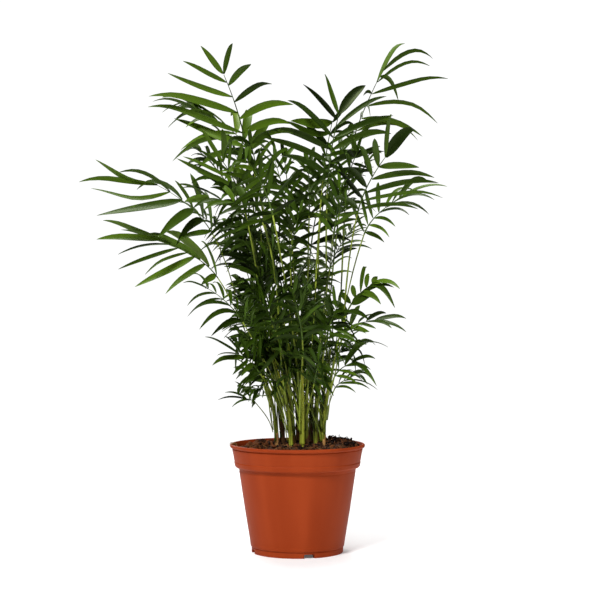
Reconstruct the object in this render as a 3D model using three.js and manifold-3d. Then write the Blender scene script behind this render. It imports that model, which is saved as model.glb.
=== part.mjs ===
// A parlour palm in its nursery pot: a thermoformed pot, the peat in it, a clump of slender canes
// and the feather fronds that they carry. Millimetres, +Z up, origin on the floor under the pot's
// centre, front of the plant towards -Y.

import * as THREE from 'three';
import { mergeVertices } from 'three/addons/utils/BufferGeometryUtils.js';
import Module from 'manifold-3d';

const wasm = await Module();
wasm.setup();

// ---------------------------------------------------------------- driving dimensions

const GAP = 0.35; // air kept between any two pieces
const FOOT_GAP = 0.37; // between a frond's foot and its cane

const POT = {
  sides: 40,
  rimRadius: 85,
  height: 136,
  collarTopRadius: 82.7,
  collarFootRadius: 78.7,
  collarFoot: 108,
  bodyTopRadius: 74.2,
  bodyTop: 105.5,
  bodyFootRadius: 59,
  bodyFoot: 7.3,
  footRadius: 57.6,
  footInnerRadius: 52,
  panelHeight: 3,
  padRadius: 20,
  floorTop: 5.5,
  wall: 1.9,
  lipDrop: 4.2,
};

const DRAIN = { count: 4, turn: -75, width: 13, height: 4.4, from: 44, to: 62 };

const PEAT = { sides: 32, crown: 133, edge: 128.5, plateau: 46, lump: 1.6 };

const CANE = { sides: 7, rings: 7, flare: 1.2, tipRadius: 0.5 };

// The rib of a frond: half its width and its depth at three places, how steeply it leaves its
// cane, the share of its end that sags, and the steps of the bare petiole below its leaflets.
const RIB = {
  foot: { halfWidth: 1.7, depth: 2.2 },
  neck: { halfWidth: 1.15, depth: 1.6 },
  tip: { halfWidth: 0.5, depth: 0.8 },
  splay: 0.14,
  sag: 0.3,
  petioleSteps: [0, 0.1, 0.3, 0.6],
};

// Feet of the fronds up a cane: the lowest place, the rise from one to the next (both as shares
// of the cane's height) and the turn to either side of the way that the frond goes, in degrees.
const FEET = { lowest: 0.15, rise: 0.14, turn: 25 };

// Where a rib would touch another piece, its foot is turned and its neck shifted a little further
// on each try, in degrees and millimetres, the neck round a sunflower spiral.
const RIB_TRY = { most: 60, turn: 8, shift: 1.6, spiral: 137.5 };

const LEAFLET = {
  rootShare: 0.072, // length of its root along the rib, over the frond's longest leaflet
  open: [64, 27], // from the rib at the neck and at the tip, degrees
  end: 0.64, // size of the last leaflets over the longest
  fold: 10,
  droop: 0.18,
  sway: 11, // chance turns, degrees
  slenderness: 0.105, // width over length
  widest: 0.42, // place of the widest part along the leaflet
  thickness: 1.25,
};

// Canes: place on the peat, lean at the tip, height over the peat, radius.
const CANES = [
  { at: [-26, 2], lean: [-27, 3], height: 112, radius: 3.2 },
  { at: [-19, 15], lean: [-14, 12], height: 120, radius: 3.8 },
  { at: [-8, -15], lean: [-26, -9], height: 118, radius: 3.0 },
  { at: [-5, -4], lean: [-19, -2], height: 126, radius: 3.6 },
  { at: [1, 19], lean: [-3, 16], height: 130, radius: 3.2 },
  { at: [6, -19], lean: [0, -12], height: 124, radius: 3.9 },
  { at: [11, -6], lean: [3, -4], height: 134, radius: 3.3 },
  { at: [17, 23], lean: [5, 17], height: 126, radius: 3.9 },
  { at: [23, 6], lean: [8, 3], height: 128, radius: 3.7 },
  { at: [29, 17], lean: [14, 12], height: 118, radius: 3.2 },
  { at: [33, -8], lean: [15, -7], height: 114, radius: 2.6 },
  { at: [-7, 34], lean: [-9, 24], height: 116, radius: 3.4 },
];

// Fronds seen from the front and the sides: the cane that carries each, the places of its neck
// (where its leaflets begin) and its tip, the way its upper face looks (azimuth, elevation), its
// pairs of leaflets and the length of the longest of them. Some also say how far their leaflets
// stand open at the neck and the tip, how much shorter the end ones are, how far the two sides
// fold up, and how much leaflets (droop) or the rib's end (sag) hang.
const FRONDS = [
  // top left
  { cane: 1, neck: [-64, -5, 505], tip: [-92, -20, 598], face: [-115, 5], pairs: 6, leaf: 114,
    open: [64, 27], end: 0.46, fold: 20, droop: 0.04 },
  { cane: 3, neck: [-62, 18, 504], tip: [-130, 26, 559], face: [-95, 65], pairs: 7, leaf: 80,
    open: [48, 16], droop: 0.26 },
  { cane: 2, neck: [-67, -35, 434], tip: [-93, -50, 489], face: [-110, 10], pairs: 6, leaf: 76,
    open: [66, 30], fold: 16, droop: 0.04 },
  { cane: 2, neck: [-48, -60, 412], tip: [-108, -78, 440], face: [-95, 55], pairs: 6, leaf: 50 },
  // far left
  { cane: 0, neck: [-105, -20, 399], tip: [-178, -26, 462], face: [-90, 66], pairs: 6, leaf: 112,
    open: [44, 13], end: 0.9, fold: -14, sag: 0.3 },
  { cane: 0, neck: [-105, -12, 345], tip: [-175, -24, 393], face: [-90, 60], pairs: 7, leaf: 92,
    open: [46, 14], end: 0.85, fold: -14, droop: 0.22, sag: 0.2 },
  { cane: 2, neck: [-67, -44, 290], tip: [-111, -55, 332], face: [-90, 58], pairs: 6, leaf: 54,
    open: [62, 26], droop: 0.42 },
  { cane: 2, neck: [-42, -48, 226], tip: [-72, -78, 252], face: [-105, 40], pairs: 6, leaf: 56,
    open: [72, 20], end: 0.8 },
  { cane: 0, neck: [-49, -24, 190], tip: [-64, -31, 194], face: [-90, 50], pairs: 3, leaf: 36,
    open: [58, 24], end: 0.9 },
  { cane: 0, neck: [-42, -38, 206], tip: [-60, -44, 206], face: [-90, 50], pairs: 4, leaf: 20,
    droop: 0.6 },
  // top centre
  { cane: 8, neck: [38, -45, 468], tip: [52, -40, 550], face: [-88, 0], pairs: 6, leaf: 96,
    open: [70, 30], end: 0.58, droop: 0.05 },
  { cane: 5, neck: [32, -20, 466], tip: [44, -20, 541], face: [-60, 20], pairs: 6, leaf: 52 },
  { cane: 4, neck: [15, 30, 425], tip: [14, 40, 490], face: [-90, 20], pairs: 8, leaf: 56 },
  // right
  { cane: 9, neck: [70, 12, 512], tip: [106, 22, 600], face: [-42, 0], pairs: 7, leaf: 118,
    open: [60, 20], end: 0.68, fold: 30, droop: 0.32, sag: 0.1 },
  { cane: 10, neck: [74, -60, 424], tip: [109, -75, 493], face: [-62, 5], pairs: 6, leaf: 96,
    open: [66, 30], end: 0.6, fold: 24, droop: 0.2 },
  { cane: 9, neck: [83, -20, 399], tip: [130, -12, 446], face: [-80, 60], pairs: 7, leaf: 64,
    open: [56, 18], end: 0.95, droop: 0.26 },
  { cane: 10, neck: [63, -30, 302], tip: [94, -45, 338], face: [-80, 35], pairs: 6, leaf: 50,
    open: [62, 30], droop: 0.36 },
  { cane: 9, neck: [60, -12, 277], tip: [98, -16, 291], face: [-90, 60], pairs: 5, leaf: 46,
    open: [50, 14], end: 0.9, droop: 0.3 },
  { cane: 8, neck: [42, -48, 256], tip: [67, -52, 279], face: [-85, 55], pairs: 5, leaf: 34,
    droop: 0.34 },
  { cane: 10, neck: [46, -30, 222], tip: [68, -40, 240], face: [-80, 40], pairs: 4, leaf: 40,
    open: [62, 25], end: 0.85 },
  { cane: 10, neck: [46, -22, 207], tip: [66, -28, 220], face: [-80, 60], pairs: 4, leaf: 40,
    open: [50, 16], end: 0.9, droop: 0.34 },
  // front and middle
  { cane: 5, neck: [-30, -66, 420], tip: [-59, -95, 484], face: [-90, 35], pairs: 7, leaf: 60,
    open: [66, 36] },
  { cane: 8, neck: [44, -80, 396], tip: [52, -100, 449], face: [-90, 60], pairs: 6, leaf: 54 },
  { cane: 1, neck: [-42, 20, 372], tip: [-90, 30, 414], face: [-90, 50], pairs: 8, leaf: 56,
    droop: 0.5 },
  { cane: 5, neck: [6, -70, 268], tip: [-6, -100, 326], face: [-90, 40], pairs: 8, leaf: 58 },
  { cane: 8, neck: [38, -64, 268], tip: [50, -92, 314], face: [-80, 50], pairs: 8, leaf: 54 },
  { cane: 3, neck: [-32, -62, 280], tip: [-56, -95, 328], face: [-100, 45], pairs: 8, leaf: 56 },
  { cane: 6, neck: [18, -58, 214], tip: [30, -92, 254], face: [-90, 45], pairs: 8, leaf: 48 },
  { cane: 3, neck: [-42, 0, 318], tip: [-68, -10, 398], face: [-95, 20], pairs: 7, leaf: 60 },
  { cane: 6, neck: [-8, 10, 404], tip: [-16, 0, 492], face: [-90, 15], pairs: 7, leaf: 58 },
];

// The back of the crown, worked out by a rule: tiers of fronds spread over the half circle
// behind the clump, each tier with its reach from the axis and the height of its tips.
const BACK_TIERS = [
  { count: 5, from: 20, to: 160, reach: 92, top: 268, spread: 30, leaf: 58, pairs: 7 },
  { count: 5, from: 50, to: 168, reach: 136, top: 388, spread: 44, leaf: 72, pairs: 8 },
  { count: 6, from: 8, to: 172, reach: 98, top: 500, spread: 40, leaf: 80, pairs: 8 },
];
const BACK = {
  start: 173, // height that the necks are reckoned from
  neckReach: 0.5,
  neckRise: 0.72,
  wander: 0.25,
  uneven: 0.12,
  lookUp: 40, // elevation of the upper faces, degrees
  nod: 22,
};
const CROWDING = 14; // millimetres of reach that one more frond costs a cane

// ---------------------------------------------------------------- small helpers

const vec = (x, y, z) => new THREE.Vector3(x, y, z);
const UP = vec(0, 0, 1);
const degrees = (angle) => THREE.MathUtils.degToRad(angle);
const mix = THREE.MathUtils.lerp;
const smooth = (t) => t * t * (3 - 2 * t);

/** Unit vector that looks along an azimuth and an elevation, in degrees. */
function heading(azimuth, elevation = 0) {
  const flat = Math.cos(degrees(elevation));
  const [a, e] = [degrees(azimuth), degrees(elevation)];
  return vec(flat * Math.cos(a), flat * Math.sin(a), Math.sin(e));
}

/** Even chance between -1 and 1, the same for the same three numbers. */
function chance(frond, place, use) {
  const wave = Math.sin(frond * 12.9898 + place * 78.233 + use * 37.719) * 43758.5453;
  return 2 * (wave - Math.floor(wave)) - 1;
}

/** p + q * amount, as a new vector. */
const along = (p, q, amount) => p.clone().addScaledVector(q, amount);

function meshOf(name, geometry, colour, roughness) {
  const material = new THREE.MeshStandardMaterial({ color: colour, roughness, metalness: 0 });
  const mesh = new THREE.Mesh(geometry, material);
  mesh.name = name;
  return mesh;
}

/** Geometry of a closed body from its vertices and the triangles between them. */
function bodyOf(vertices, faces) {
  const geometry = new THREE.BufferGeometry().setFromPoints(vertices);
  geometry.setIndex(faces.flat());
  return geometry;
}

/** A turned body without its seam, standing upright. */
function turned(profile, sides) {
  const points = profile.map(([radius, z]) => new THREE.Vector2(radius, z));
  const lathe = new THREE.LatheGeometry(points, sides);
  lathe.deleteAttribute('normal');
  lathe.deleteAttribute('uv');
  lathe.rotateX(Math.PI / 2);
  return mergeVertices(lathe, 1e-4);
}

function manifoldOf(geometry) {
  const plain = geometry.clone();
  plain.deleteAttribute('normal');
  plain.deleteAttribute('uv');
  const merged = mergeVertices(plain, 1e-4);
  const mesh = new wasm.Mesh({
    numProp: 3,
    vertProperties: new Float32Array(merged.attributes.position.array),
    triVerts: new Uint32Array(merged.index.array),
  });
  return new wasm.Manifold(mesh);
}

function geometryOf(manifold) {
  const { vertProperties, triVerts } = manifold.getMesh();
  const geometry = new THREE.BufferGeometry();
  geometry.setAttribute('position', new THREE.BufferAttribute(vertProperties, 3));
  geometry.setIndex(new THREE.BufferAttribute(triVerts, 1));
  return geometry;
}

// ---------------------------------------------------------------- pot and peat

/** Inner radius of the pot at a height. */
function potInside(z) {
  if (z > POT.collarFoot) {
    const t = (z - POT.collarFoot) / (POT.height - POT.lipDrop - POT.collarFoot);
    return mix(POT.collarFootRadius, POT.collarTopRadius, t) - POT.wall;
  }
  const t = (z - POT.bodyFoot) / (POT.bodyTop - POT.bodyFoot);
  return mix(POT.bodyFootRadius, POT.bodyTopRadius, t) - POT.wall;
}

/** The pot: foot ring, raised panel, tapered body, collar and rolled lip, one thin wall. */
function potMesh() {
  const lipFoot = POT.height - POT.lipDrop;
  const outside = [
    [0, 0],
    [POT.padRadius, 0],
    [POT.padRadius + 2, POT.panelHeight],
    [POT.footInnerRadius - 1.5, POT.panelHeight],
    [POT.footInnerRadius, 0],
    [POT.footRadius, 0],
    [POT.footRadius, POT.bodyFoot - 0.4],
    [POT.bodyFootRadius, POT.bodyFoot],
    [POT.bodyTopRadius, POT.bodyTop],
    [POT.collarFootRadius, POT.collarFoot],
    [POT.collarTopRadius, lipFoot],
    [POT.rimRadius - 0.5, lipFoot + 0.3],
    [POT.rimRadius, lipFoot + 1.3],
    [POT.rimRadius - 0.3, POT.height - 1],
    [POT.rimRadius - 1.6, POT.height],
  ];
  const inside = [
    [POT.rimRadius - 3.2, POT.height - 0.4],
    [potInside(lipFoot) + 0.2, lipFoot],
    [potInside(POT.collarFoot + 0.1), POT.collarFoot + 0.6],
    [potInside(POT.bodyTop), POT.bodyTop - 0.4],
    [potInside(POT.bodyFoot) + 0.3, POT.bodyFoot + 2],
    [potInside(POT.bodyFoot) - 2, POT.floorTop],
    [0, POT.floorTop],
  ];
  let pot = manifoldOf(turned([...outside, ...inside], POT.sides));
  for (let i = 0; i < DRAIN.count; i++) {
    const length = DRAIN.to - DRAIN.from;
    const slot = new THREE.BoxGeometry(length, DRAIN.width, 2 * DRAIN.height);
    slot.translate(DRAIN.from + length / 2, 0, 0);
    slot.rotateZ(degrees(DRAIN.turn + (360 * i) / DRAIN.count));
    pot = pot.subtract(manifoldOf(slot));
  }
  return meshOf('pot', geometryOf(pot), 0xa54426, 0.5);
}

/** The peat: fills the pot to just under its lip, level where the canes stand, lumpy round it. */
function peatMesh() {
  const foot = POT.floorTop + GAP;
  const edge = potInside(PEAT.edge) - GAP - 0.4;
  const wide = potInside(PEAT.edge) - 5;
  const profile = [
    [0, foot],
    [potInside(POT.bodyFoot) - 4.5, foot],
    [potInside(POT.bodyFoot + 4) - GAP - 0.5, foot + 5],
    [potInside(POT.bodyTop) - GAP - 0.5, POT.bodyTop - 1.5],
    [edge, PEAT.edge],
    [wide, PEAT.edge + 1],
    [(wide + PEAT.plateau) / 2, mix(PEAT.edge, PEAT.crown, 0.6)],
    [PEAT.plateau, PEAT.crown],
    [0, PEAT.crown],
  ];
  const geometry = turned(profile, PEAT.sides);
  const position = geometry.attributes.position;
  for (let i = 0; i < position.count; i++) {
    const radius = Math.hypot(position.getX(i), position.getY(i));
    if (position.getZ(i) > PEAT.edge + 0.5 && radius > PEAT.plateau + 1) {
      position.setZ(i, position.getZ(i) + PEAT.lump * chance(i, 0, 1));
    }
  }
  return meshOf('peat', geometryOf(manifoldOf(geometry)), 0x3a2617, 1);
}

// ---------------------------------------------------------------- canes

/** Point on a cane's axis, t from 0 at the peat to 1 at its tip. */
function caneAxis(cane, t) {
  const [x, y] = cane.at;
  const [dx, dy] = cane.lean;
  return vec(x + dx * t * t, y + dy * t * t, PEAT.crown + GAP + cane.height * t);
}

/** Radius of a cane: flared at its foot, then drawn out to a spear of unopened frond. */
function caneRadius(cane, t) {
  const flare = 1 + (CANE.flare - 1) * Math.max(0, 1 - t / 0.12);
  return mix(CANE.tipRadius, cane.radius, Math.pow(1 - t, 0.45)) * flare;
}

function caneMesh(cane, index) {
  const vertices = [];
  const faces = [];
  const ringStart = (ring) => ring * CANE.sides;
  for (let ring = 0; ring < CANE.rings; ring++) {
    const t = Math.pow(ring / CANE.rings, 0.9);
    const centre = caneAxis(cane, t);
    for (let side = 0; side < CANE.sides; side++) {
      const out = heading((360 * side) / CANE.sides);
      vertices.push(along(centre, out, caneRadius(cane, t)));
    }
  }
  for (let ring = 0; ring + 1 < CANE.rings; ring++) {
    for (let side = 0; side < CANE.sides; side++) {
      const next = (side + 1) % CANE.sides;
      const [a, b] = [ringStart(ring) + side, ringStart(ring) + next];
      const [c, d] = [ringStart(ring + 1) + next, ringStart(ring + 1) + side];
      faces.push([a, b, c], [a, c, d]);
    }
  }
  const tip = vertices.push(caneAxis(cane, 1)) - 1;
  const foot = vertices.push(caneAxis(cane, 0)) - 1;
  for (let side = 0; side < CANE.sides; side++) {
    const next = (side + 1) % CANE.sides;
    faces.push([ringStart(CANE.rings - 1) + side, ringStart(CANE.rings - 1) + next, tip]);
    faces.push([next, side, foot]);
  }
  const name = `cane_${String(index + 1).padStart(2, '0')}`;
  return meshOf(name, bodyOf(vertices, faces), 0x7f8f3a, 0.6);
}

// ---------------------------------------------------------------- room between the pieces

/** Where every placed triangle is, so that a new piece can be tried against its neighbours. */
class Room {
  cell = 14;
  cubes = new Map();

  /** Names of the cubes that a triangle's box, grown by the gap, reaches into. */
  * cubesOf(triangle) {
    const low = [0, 1, 2].map((k) => Math.min(...triangle.map((p) => p.getComponent(k))) - GAP);
    const high = [0, 1, 2].map((k) => Math.max(...triangle.map((p) => p.getComponent(k))) + GAP);
    const [x0, y0, z0] = low.map((value) => Math.floor(value / this.cell));
    const [x1, y1, z1] = high.map((value) => Math.floor(value / this.cell));
    for (let x = x0; x <= x1; x++) {
      for (let y = y0; y <= y1; y++) {
        for (let z = z0; z <= z1; z++) yield `${x},${y},${z}`;
      }
    }
  }

  add(triangles, owner, station) {
    for (const triangle of triangles) {
      const entry = { triangle, owner, station };
      for (const cube of this.cubesOf(triangle)) {
        if (!this.cubes.has(cube)) this.cubes.set(cube, []);
        this.cubes.get(cube).push(entry);
      }
    }
  }

  /** Whether the triangles keep the gap to all others but those next to them on their own rib. */
  isClear(triangles, owner, station) {
    for (const triangle of triangles) {
      for (const cube of this.cubesOf(triangle)) {
        for (const entry of this.cubes.get(cube) ?? []) {
          const near = entry.owner === owner && Math.abs(entry.station - station) <= 1;
          if (!near && !apart(triangle, entry.triangle)) return false;
        }
      }
    }
    return true;
  }
}

/** Whether some direction shows two triangles at least the gap apart. */
function apart(one, other) {
  const edges = (t) => [0, 1, 2].map((i) => t[(i + 1) % 3].clone().sub(t[i]));
  const [a, b] = [edges(one), edges(other)];
  const [normalA, normalB] = [a[0].clone().cross(a[1]), b[0].clone().cross(b[1])];
  const axes = [vec(1, 0, 0), vec(0, 1, 0), UP, normalA, normalB];
  for (const edge of a) axes.push(edge.clone().cross(normalA));
  for (const edge of b) axes.push(edge.clone().cross(normalB));
  for (const edge of a) axes.push(...b.map((far) => edge.clone().cross(far)));
  for (const axis of axes) {
    const length = axis.length();
    if (length < 1e-6) continue;
    const reach = (t) => t.map((p) => p.dot(axis) / length);
    const [near, far] = [reach(one), reach(other)];
    if (Math.min(...far) - Math.max(...near) >= GAP) return true;
    if (Math.min(...near) - Math.max(...far) >= GAP) return true;
  }
  return false;
}

// ---------------------------------------------------------------- fronds

/** How many fronds of its cane have their necks lower than this one. */
function rank(row, rows) {
  return rows.filter((other) => other.cane === row.cane && other.neck[2] < row.neck[2]).length;
}

/** The cane that reaches furthest in a direction, each frond that it carries counting against it. */
function caneTowards(out, load) {
  const scores = CANES.map(({ at, lean }, index) => (
    (at[0] + lean[0]) * out.x + (at[1] + lean[1]) * out.y - CROWDING * load[index]
  ));
  return scores.indexOf(Math.max(...scores));
}

/** Rows of the back tiers, in the form of the FRONDS table. */
function backFronds() {
  const rows = [];
  const load = CANES.map((cane, index) => FRONDS.filter((row) => row.cane === index).length);
  for (const tier of BACK_TIERS) {
    for (let i = 0; i < tier.count; i++) {
      const seed = 100 * tier.count + 10 * i + tier.leaf;
      const place = (i + 0.5 + BACK.wander * chance(seed, i, 1)) / tier.count;
      const azimuth = mix(tier.from, tier.to, place);
      const reach = tier.reach * (1 + BACK.uneven * chance(seed, i, 2));
      const top = tier.top + tier.spread * chance(seed, i, 3);
      const out = heading(azimuth);
      const cane = caneTowards(out, load);
      const neckHeight = mix(BACK.start, top, BACK.neckRise);
      load[cane] += 1;
      rows.push({
        cane,
        neck: along(vec(0, 0, neckHeight), out, reach * BACK.neckReach).toArray(),
        tip: along(vec(0, 0, top), out, reach).toArray(),
        face: [azimuth + 180, BACK.lookUp + BACK.nod * chance(seed, i, 4)],
        pairs: tier.pairs,
        leaf: tier.leaf,
      });
    }
  }
  return rows;
}

/** The two curves of a frond's rib, its petiole and its blade, at one of the tries. */
function frondRoute(row, order, attempt) {
  const cane = CANES[row.cane];
  const t = FEET.lowest + FEET.rise * order;
  const turn = (attempt % 2 ? 1 : -1) * Math.ceil(attempt / 2) * RIB_TRY.turn;
  const shift = heading(attempt * RIB_TRY.spiral).multiplyScalar(RIB_TRY.shift * Math.sqrt(attempt));
  const neck = vec(...row.neck).add(shift);
  const tip = vec(...row.tip);
  const axis = caneAxis(cane, t);
  const away = Math.atan2(neck.y - axis.y, neck.x - axis.x);
  const side = order % 2 ? FEET.turn : -FEET.turn;
  const out = heading(THREE.MathUtils.radToDeg(away) + turn + side);
  const foot = along(axis, out, caneRadius(cane, t) + FOOT_GAP);
  const climb = caneAxis(cane, t + 0.01).sub(axis).normalize();
  const start = along(climb, out, RIB.splay).normalize();
  const [low, high] = [neck.distanceTo(foot), tip.distanceTo(neck)];
  const bend = tip.clone().sub(foot).normalize();
  const end = along(tip.clone().sub(neck).normalize(), UP, -(row.sag ?? RIB.sag)).normalize();
  const petiole = hermite(foot, start.multiplyScalar(low), neck, bend.clone().multiplyScalar(low));
  const blade = hermite(neck, bend.multiplyScalar(high), tip, end.multiplyScalar(high));
  return { petiole, blade, out, face: heading(...row.face), high };
}

/** Curve from p to q that leaves along m and arrives along n. */
function hermite(p, m, q, n) {
  return new THREE.CubicBezierCurve3(p, along(p, m, 1 / 3), along(q, n, -1 / 3), q);
}

/** Cross-section of the rib: a flat top edge to edge and a keel under it. */
function ribSection(centre, tangent, face, halfWidth, depth) {
  const normal = along(face, tangent, -face.dot(tangent)).normalize();
  const side = tangent.clone().cross(normal);
  return {
    tangent,
    normal,
    side,
    left: along(centre, side, -halfWidth),
    right: along(centre, side, halfWidth),
    keel: along(centre, normal, -depth),
  };
}

/** All sections of a frond's rib: the bare petiole, then two for each pair of leaflets. */
function ribSections(row, route) {
  const sections = [];
  for (const t of RIB.petioleSteps) {
    const face = route.out.clone().negate().lerp(route.face, smooth(t));
    sections.push(ribSection(
      route.petiole.getPoint(t),
      route.petiole.getTangent(t),
      face,
      mix(RIB.foot.halfWidth, RIB.neck.halfWidth, t),
      mix(RIB.foot.depth, RIB.neck.depth, t),
    ));
  }
  const half = (LEAFLET.rootShare * row.leaf) / 2 / route.high;
  for (let pair = 0; pair < row.pairs; pair++) {
    const middle = mix(half + 0.01, 1 - half, pair / (row.pairs - 1));
    for (const t of [middle - half, middle + half]) {
      sections.push(ribSection(
        route.blade.getPoint(t),
        route.blade.getTangent(t),
        route.face,
        mix(RIB.neck.halfWidth, RIB.tip.halfWidth, t),
        mix(RIB.neck.depth, RIB.tip.depth, t),
      ));
    }
  }
  return sections;
}

/** The triangles of one stretch of rib between two sections, by side. */
function ribStretch(a, b) {
  return {
    top: [[a.left, a.right, b.right], [a.left, b.right, b.left]],
    left: [[a.left, b.left, a.keel], [b.left, b.keel, a.keel]],
    right: [[a.right, a.keel, b.right], [b.right, a.keel, b.keel]],
  };
}

// Each try for a leaflet: swing along the rib and lift off it in degrees, and its size.
const LEAFLET_TRIES = [
  [0, 0, 1], [0, 14, 1], [0, -14, 1], [9, 0, 1], [-9, 0, 1], [5, 26, 1], [5, -26, 1],
  [-12, 20, 0.9], [-12, -20, 0.9], [0, 0, 0.75], [0, 22, 0.75], [0, -22, 0.75], [-14, 34, 0.7],
];

/** One leaflet: its root on the rib, its widest section and its tip. */
function leafletPoints(row, number, pair, sign, stretch, attempt) {
  const [a, b] = stretch;
  const q = pair / (row.pairs - 1);
  const place = 2 * pair + (sign > 0 ? 1 : 0);
  const [swing, lift, size] = LEAFLET_TRIES[attempt];
  const [wide, narrow] = row.open ?? LEAFLET.open;
  const open = mix(wide, narrow, Math.pow(q, 1.5));
  const angle = degrees(open + LEAFLET.sway * chance(number, place, 1) + swing);
  const fold = degrees((row.fold ?? LEAFLET.fold) + LEAFLET.sway * chance(number, place, 2) + lift);
  const taper = mix(1, row.end ?? LEAFLET.end, Math.pow(q, 1.4)) * mix(0.86, 1, Math.min(1, 3.5 * q));
  const length = row.leaf * taper * (1 + 0.08 * chance(number, place, 3)) * size;
  const droop = (row.droop ?? LEAFLET.droop) * (1 + 0.5 * chance(number, place, 4));
  const across = along(vec(0, 0, 0), a.side, sign * Math.cos(fold));
  across.addScaledVector(a.normal, Math.sin(fold));
  const way = along(vec(0, 0, 0), a.tangent, Math.cos(angle)).addScaledVector(across, Math.sin(angle));
  const forward = along(a.tangent, way, -a.tangent.dot(way)).normalize();
  const upper = way.clone().cross(forward).multiplyScalar(sign);
  const edges = sign > 0 ? [a.right, b.right] : [a.left, b.left];
  const root = edges[0].clone().add(edges[1]).multiplyScalar(0.5);
  const at = (u) => along(along(root, way, length * u), UP, -length * droop * u * u);
  const width = length * LEAFLET.slenderness * (q === 1 ? 1.35 : 1);
  const middle = at(LEAFLET.widest);
  return {
    edges,
    keel: a.keel,
    back: along(middle, forward, -width / 2),
    front: along(middle, forward, width / 2),
    under: along(middle, upper, -Math.max(LEAFLET.thickness, length / 90)),
    tip: at(1),
  };
}

/** The nine triangles of a leaflet, open at its root, facing out. */
function leafletTriangles(leaf, sign) {
  const [first, second] = leaf.edges;
  const { keel, back, front, under, tip } = leaf;
  const triangles = [
    [first, second, front], [first, front, back],
    [second, keel, under], [second, under, front],
    [keel, first, back], [keel, back, under],
    [back, front, tip], [front, under, tip], [under, back, tip],
  ];
  return sign > 0 ? triangles.map(([p, q, r]) => [p, r, q]) : triangles;
}

/** A closed body from loose triangles whose shared corners are the same vector objects. */
function weld(triangles) {
  const vertices = [...new Set(triangles.flat())];
  const index = new Map(vertices.map((vertex, i) => [vertex, i]));
  return bodyOf(vertices, triangles.map((triangle) => triangle.map((p) => index.get(p))));
}

/** Files the canes' triangles in the room. */
function enterCanes(room, canes) {
  for (const { name, geometry } of canes) {
    const { position } = geometry.attributes;
    const corners = geometry.index.array;
    for (let i = 0; i < corners.length; i += 3) {
      const triangle = [0, 1, 2].map((k) => vec().fromBufferAttribute(position, corners[i + k]));
      room.add([triangle], name, 0);
    }
  }
}

/** Finds the first way for a frond's rib that keeps clear of all that is placed. */
function placeRib(room, row, number, order) {
  for (let attempt = 0; attempt < RIB_TRY.most; attempt++) {
    const sections = ribSections(row, frondRoute(row, order, attempt));
    const stretches = sections.slice(1).map((b, i) => ribStretch(sections[i], b));
    const shells = stretches.map((stretch) => Object.values(stretch).flat());
    if (shells.every((shell, station) => room.isClear(shell, number, station))) {
      shells.forEach((shell, station) => room.add(shell, number, station));
      return { sections, stretches };
    }
  }
  throw new Error(`frond ${number + 1} finds no way through the others`);
}

/** Finds the first try of a leaflet that keeps clear, or nothing. */
function placeLeaflet(room, row, number, pair, sign, ends) {
  const station = RIB.petioleSteps.length + 2 * pair;
  for (let attempt = 0; attempt < LEAFLET_TRIES.length; attempt++) {
    const shell = leafletTriangles(leafletPoints(row, number, pair, sign, ends, attempt), sign);
    if (room.isClear(shell, number, station)) {
      room.add(shell, number, station);
      return shell;
    }
  }
  return null;
}

/** Number of the pair of leaflets that a stretch of rib carries, or -1 on a bare one. */
function pairAt(station) {
  const pair = (station - RIB.petioleSteps.length) / 2;
  return Number.isInteger(pair) ? Math.max(pair, -1) : -1;
}

/** One frond: its rib's faces, with a leaflet in place of the first of each side where one fits. */
function frondMesh(room, row, number, { sections, stretches }) {
  const [first, last] = [sections[0], sections.at(-1)];
  const triangles = [
    [first.left, first.keel, first.right],
    [last.left, last.right, last.keel],
  ];
  stretches.forEach((stretch, station) => {
    const pair = pairAt(station);
    const ends = [sections[station], sections[station + 1]];
    triangles.push(...stretch.top);
    for (const [sign, side] of [[-1, stretch.left], [1, stretch.right]]) {
      const leaflet = pair < 0 ? null : placeLeaflet(room, row, number, pair, sign, ends);
      triangles.push(...(leaflet ?? [side[0]]), side[1]);
    }
  });
  const name = `frond_${String(number + 1).padStart(2, '0')}`;
  return meshOf(name, weld(triangles), 0x2f5a1c, 0.55);
}

/** All fronds: first every rib, then leaflet by leaflet wherever one keeps clear. */
function frondMeshes(rows, canes) {
  const room = new Room();
  enterCanes(room, canes);
  const ribs = rows.map((row, number) => placeRib(room, row, number, rank(row, rows)));
  return rows.map((row, number) => frondMesh(room, row, number, ribs[number]));
}

// ---------------------------------------------------------------- the plant

const group = new THREE.Group();
const canes = CANES.map(caneMesh);
const fronds = frondMeshes([...FRONDS, ...backFronds()], canes);
group.add(potMesh(), peatMesh(), ...canes, ...fronds);

export default group;
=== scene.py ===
# %% [markdown]
# # A parlour palm in its nursery pot
# A parlour palm is a clump of slender canes that share one pot. Each cane carries a few feather
# fronds, and a frond is a bare petiole, then a rib with narrow leaflets in pairs. The solid model
# says where all of it stands, with plain leaflets. This lesson opens that model, works out by the
# same rule where every frond grows, and dresses it with finer leaflets, ribs, sheaths, peat and pot.

# %% Open the solid model
import math

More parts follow.
